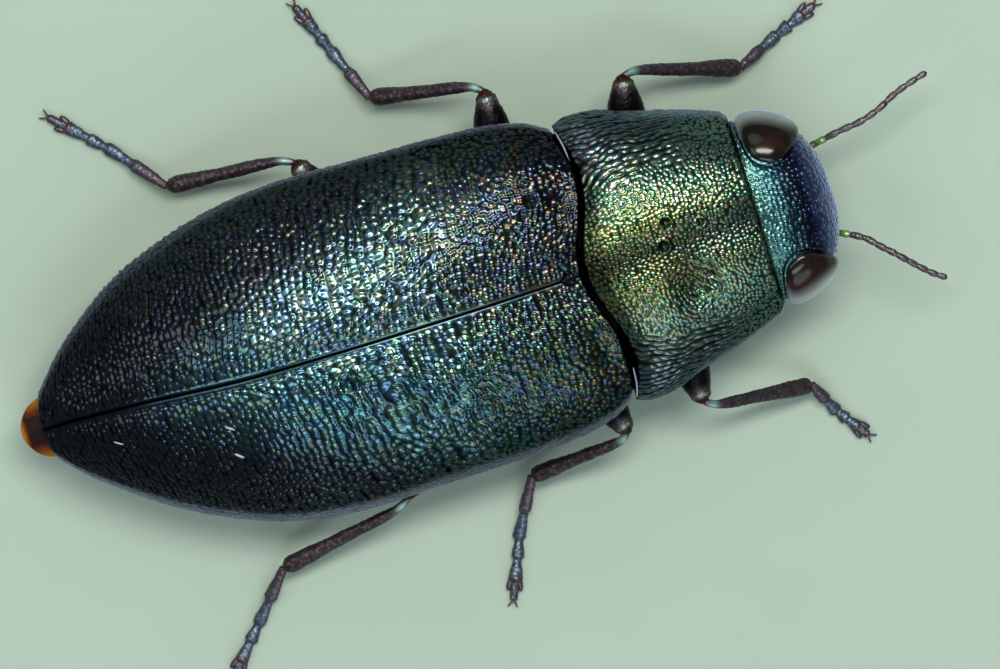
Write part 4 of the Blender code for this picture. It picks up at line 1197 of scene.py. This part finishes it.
def foot(name, seed, ankle, sole, material):
    """Five foot segments: a long one, three flared ones, the last with two lobes, and one with claws."""
    steps = 240
    ground = np.array([(*p[:2], FOOT_HEIGHT) for p in sole])
    points = np.concatenate([[ankle - (0.0, 0.0, 0.02)], ground[1:]])
    path = even([path_through(points, 160)], steps)[0]
    share = np.linspace(0.0, 1.0, steps)
    ends = np.array(FOOT_SEGMENTS)
    at = np.clip(np.searchsorted(ends, share, side="right") - 1, 0, 4)
    t = (share - ends[at]) / (ends[at + 1] - ends[at])
    flare = np.array(FOOT_GIRTHS)[at] - FOOT_WAIST
    girth = FOOT_WAIST + flare * ease(0.0, 0.8, t) * (1.0 - ease(0.82, 1.0, t)) ** 0.7
    girth = girth * (1.0 + 0.08 * drift(2.0 * share, 0 * share, 0.08, seed))
    girth = girth * np.sqrt(np.clip((1.0 - share) / 0.02, 0.05, 1.0))
    marks = {"joint": np.minimum(0.75 * (1.0 - ease(0.15, 0.34, share)) + 0.4 * ease(0.6, 0.9, t)
                                 + 0.35 * ease(0.72, 0.85, share), 1.0)}
    parts = [grained(tube_part(path, girth, girth * 0.75, 26, marks), 0.05, 0.006, seed)]
    along = path[-1] - path[-12]
    along /= np.linalg.norm(along)
    side = np.array((along[1], -along[0], 0.0))
    for turn in (1, -1):
        lobe = ball_part(14)
        x, y, z = lobe["points"].T
        fork = path[int(0.86 * steps)] + 0.058 * turn * side - (0.0, 0.0, 0.01)
        lobe["points"] = (fork + x[:, None] * 0.1 * (along + 0.25 * turn * side) + y[:, None] * 0.04 * side
                          + z[:, None] * np.array((0.0, 0.0, 0.035)))
        lobe["marks"] = {"joint": np.full(len(x), 0.8), "relief": np.full(len(x), 0.6)}
        parts.append(lobe)
        hook = [(0.0, 0.0, 0.0), (0.05, 0.035, 0.015), (0.09, 0.055, -0.02), (0.1, 0.06, -0.06)]
        bent = [path[-4] + px * along + turn * py * side + (0.0, 0.0, pz) for px, py, pz in hook]
        claw = path_through(bent, 24)
        thin = 0.019 * (1.0 - 0.85 * np.linspace(0.0, 1.0, 24))
        parts.append(tube_part(claw, thin, thin, 12, {"joint": 0.9 + 0 * thin, "relief": 1.0 + 0 * thin}))
    for place in ends[2:5]:
        pad = ball_part(10)
        under = path[int((place - 0.05) * steps)] * (1, 1, 0) + (0.0, 0.0, 0.03)
        pad["points"] = under + pad["points"] * (0.04, 0.04, 0.028)
        pad["marks"] = {"joint": np.full(len(pad["points"]), 0.7), "relief": np.full(len(pad["points"]), 0.8)}
        parts.append(pad)
    return solid("foot_" + name, parts, material, "leg_cuticle", "tarsus_" + name)


def build():
    """Every piece of the beetle, each in its finish."""
    shell = elytra_cuticle()
    wing_case(1, shell, 11)
    wing_case(-1, shell, 47)
    shield(shell)
    pronotum(pronotum_cuticle())
    belly = belly_cuticle()
    trunk("breast", "hind_thorax", belly, BELLY_LOW[1] + 0.2, BELLY_HIGH[1], 150, 240, 81, breast)
    trunk("belly_plates", "abdomen", belly, ABDOMEN_LOW[1] - 0.04, ABDOMEN_HIGH[1], 210, 220, 82, plates)
    tail(amber_cuticle())
    skin = pale_skin_and_painted_edge_glint()
    edge_glint_sliver(1, skin)
    edge_glint_sliver(-1, skin)
    bristles(skin)
    head_capsule(head_cuticle())
    cornea, chitin = eye_cornea(), leg_cuticle()
    jaws(chitin)
    beads, toe = feeler_cuticle(), foot_cuticle()
    for side in (1, -1):
        eye(side, cornea)
        feeler(side, beads)
    for k, name in enumerate(LEGS):
        leg(name, 100 + 10 * k, chitin, toe)


def aimed(name, data, place, across, up, back):
    """A lamp or the camera at a place in millimetres, turned to face away from back."""
    made = bpy.data.objects.new(name, data)
    spin = Matrix((across, up, back)).transposed()
    made.matrix_world = Matrix.Translation(place * MM) @ spin.to_4x4()
    bpy.context.scene.collection.objects.link(made)
    return made


def camera():
    """Above the beetle, leaning seven degrees towards its left side, head to the upper right."""
    lean, turn, away = math.radians(7.0), math.radians(17.3), 101.0
    back = Vector((math.sin(lean), 0.0, math.cos(lean)))
    ahead, left = Vector((0.0, -1.0, 0.0)), Vector((math.cos(lean), 0.0, -math.sin(lean)))
    right = math.cos(turn) * ahead - math.sin(turn) * left
    up = math.sin(turn) * ahead + math.cos(turn) * left
    data = bpy.data.cameras.new("camera")
    data.lens = 300.0
    data.sensor_width = 36.0
    data.clip_start = 0.01
    target = Vector((-0.5, 0.0, 1.45))
    bpy.context.scene.camera = aimed("camera", data, target + back * away, right, up, back)


def lamp(name, aside, behind, long, wide, power, colour):
    """A soft oval panel aimed at the beetle, with its length along the body."""
    data = bpy.data.lights.new(name, "AREA")
    data.shape = "ELLIPSE"
    data.size = long * MM
    data.size_y = wide * MM
    data.energy = power
    data.color = linear(colour)[:3]
    out = Vector((math.tan(math.radians(aside)), math.tan(math.radians(behind)), 1.0)).normalized()
    across = out.cross(Vector((0.0, 1.0, 0.0))).normalized()
    place = Vector((0.0, 0.0, 1.5)) + LAMP_DISTANCE * out
    aimed(name, data, place, across.cross(out), across, out)


def studio():
    """Camera, lamps, pale air, and a matt floor that stays out of the part."""
    camera()
    for settings in LAMPS:
        lamp(*settings)
    world = bpy.data.worlds.new("studio_air")
    bpy.context.scene.world = world
    world.use_nodes = True
    world.node_tree.nodes["Background"].inputs[0].default_value = linear("#c8d4e0")
    world.node_tree.nodes["Background"].inputs[1].default_value = AIR_LIGHT
    bpy.context.scene.view_settings.view_transform = "Standard"
    mesh = bpy.data.meshes.new("floor")
    wide = 400 * MM
    corners = [(-wide, -wide, 0), (wide, -wide, 0), (wide, wide, 0), (-wide, wide, 0)]
    mesh.from_pydata(corners, [], [(0, 1, 2, 3)])
    mesh.materials.append(floor_card())
    floor = bpy.data.objects.new("floor", mesh)
    bpy.context.scene.collection.objects.link(floor)


build()
studio()
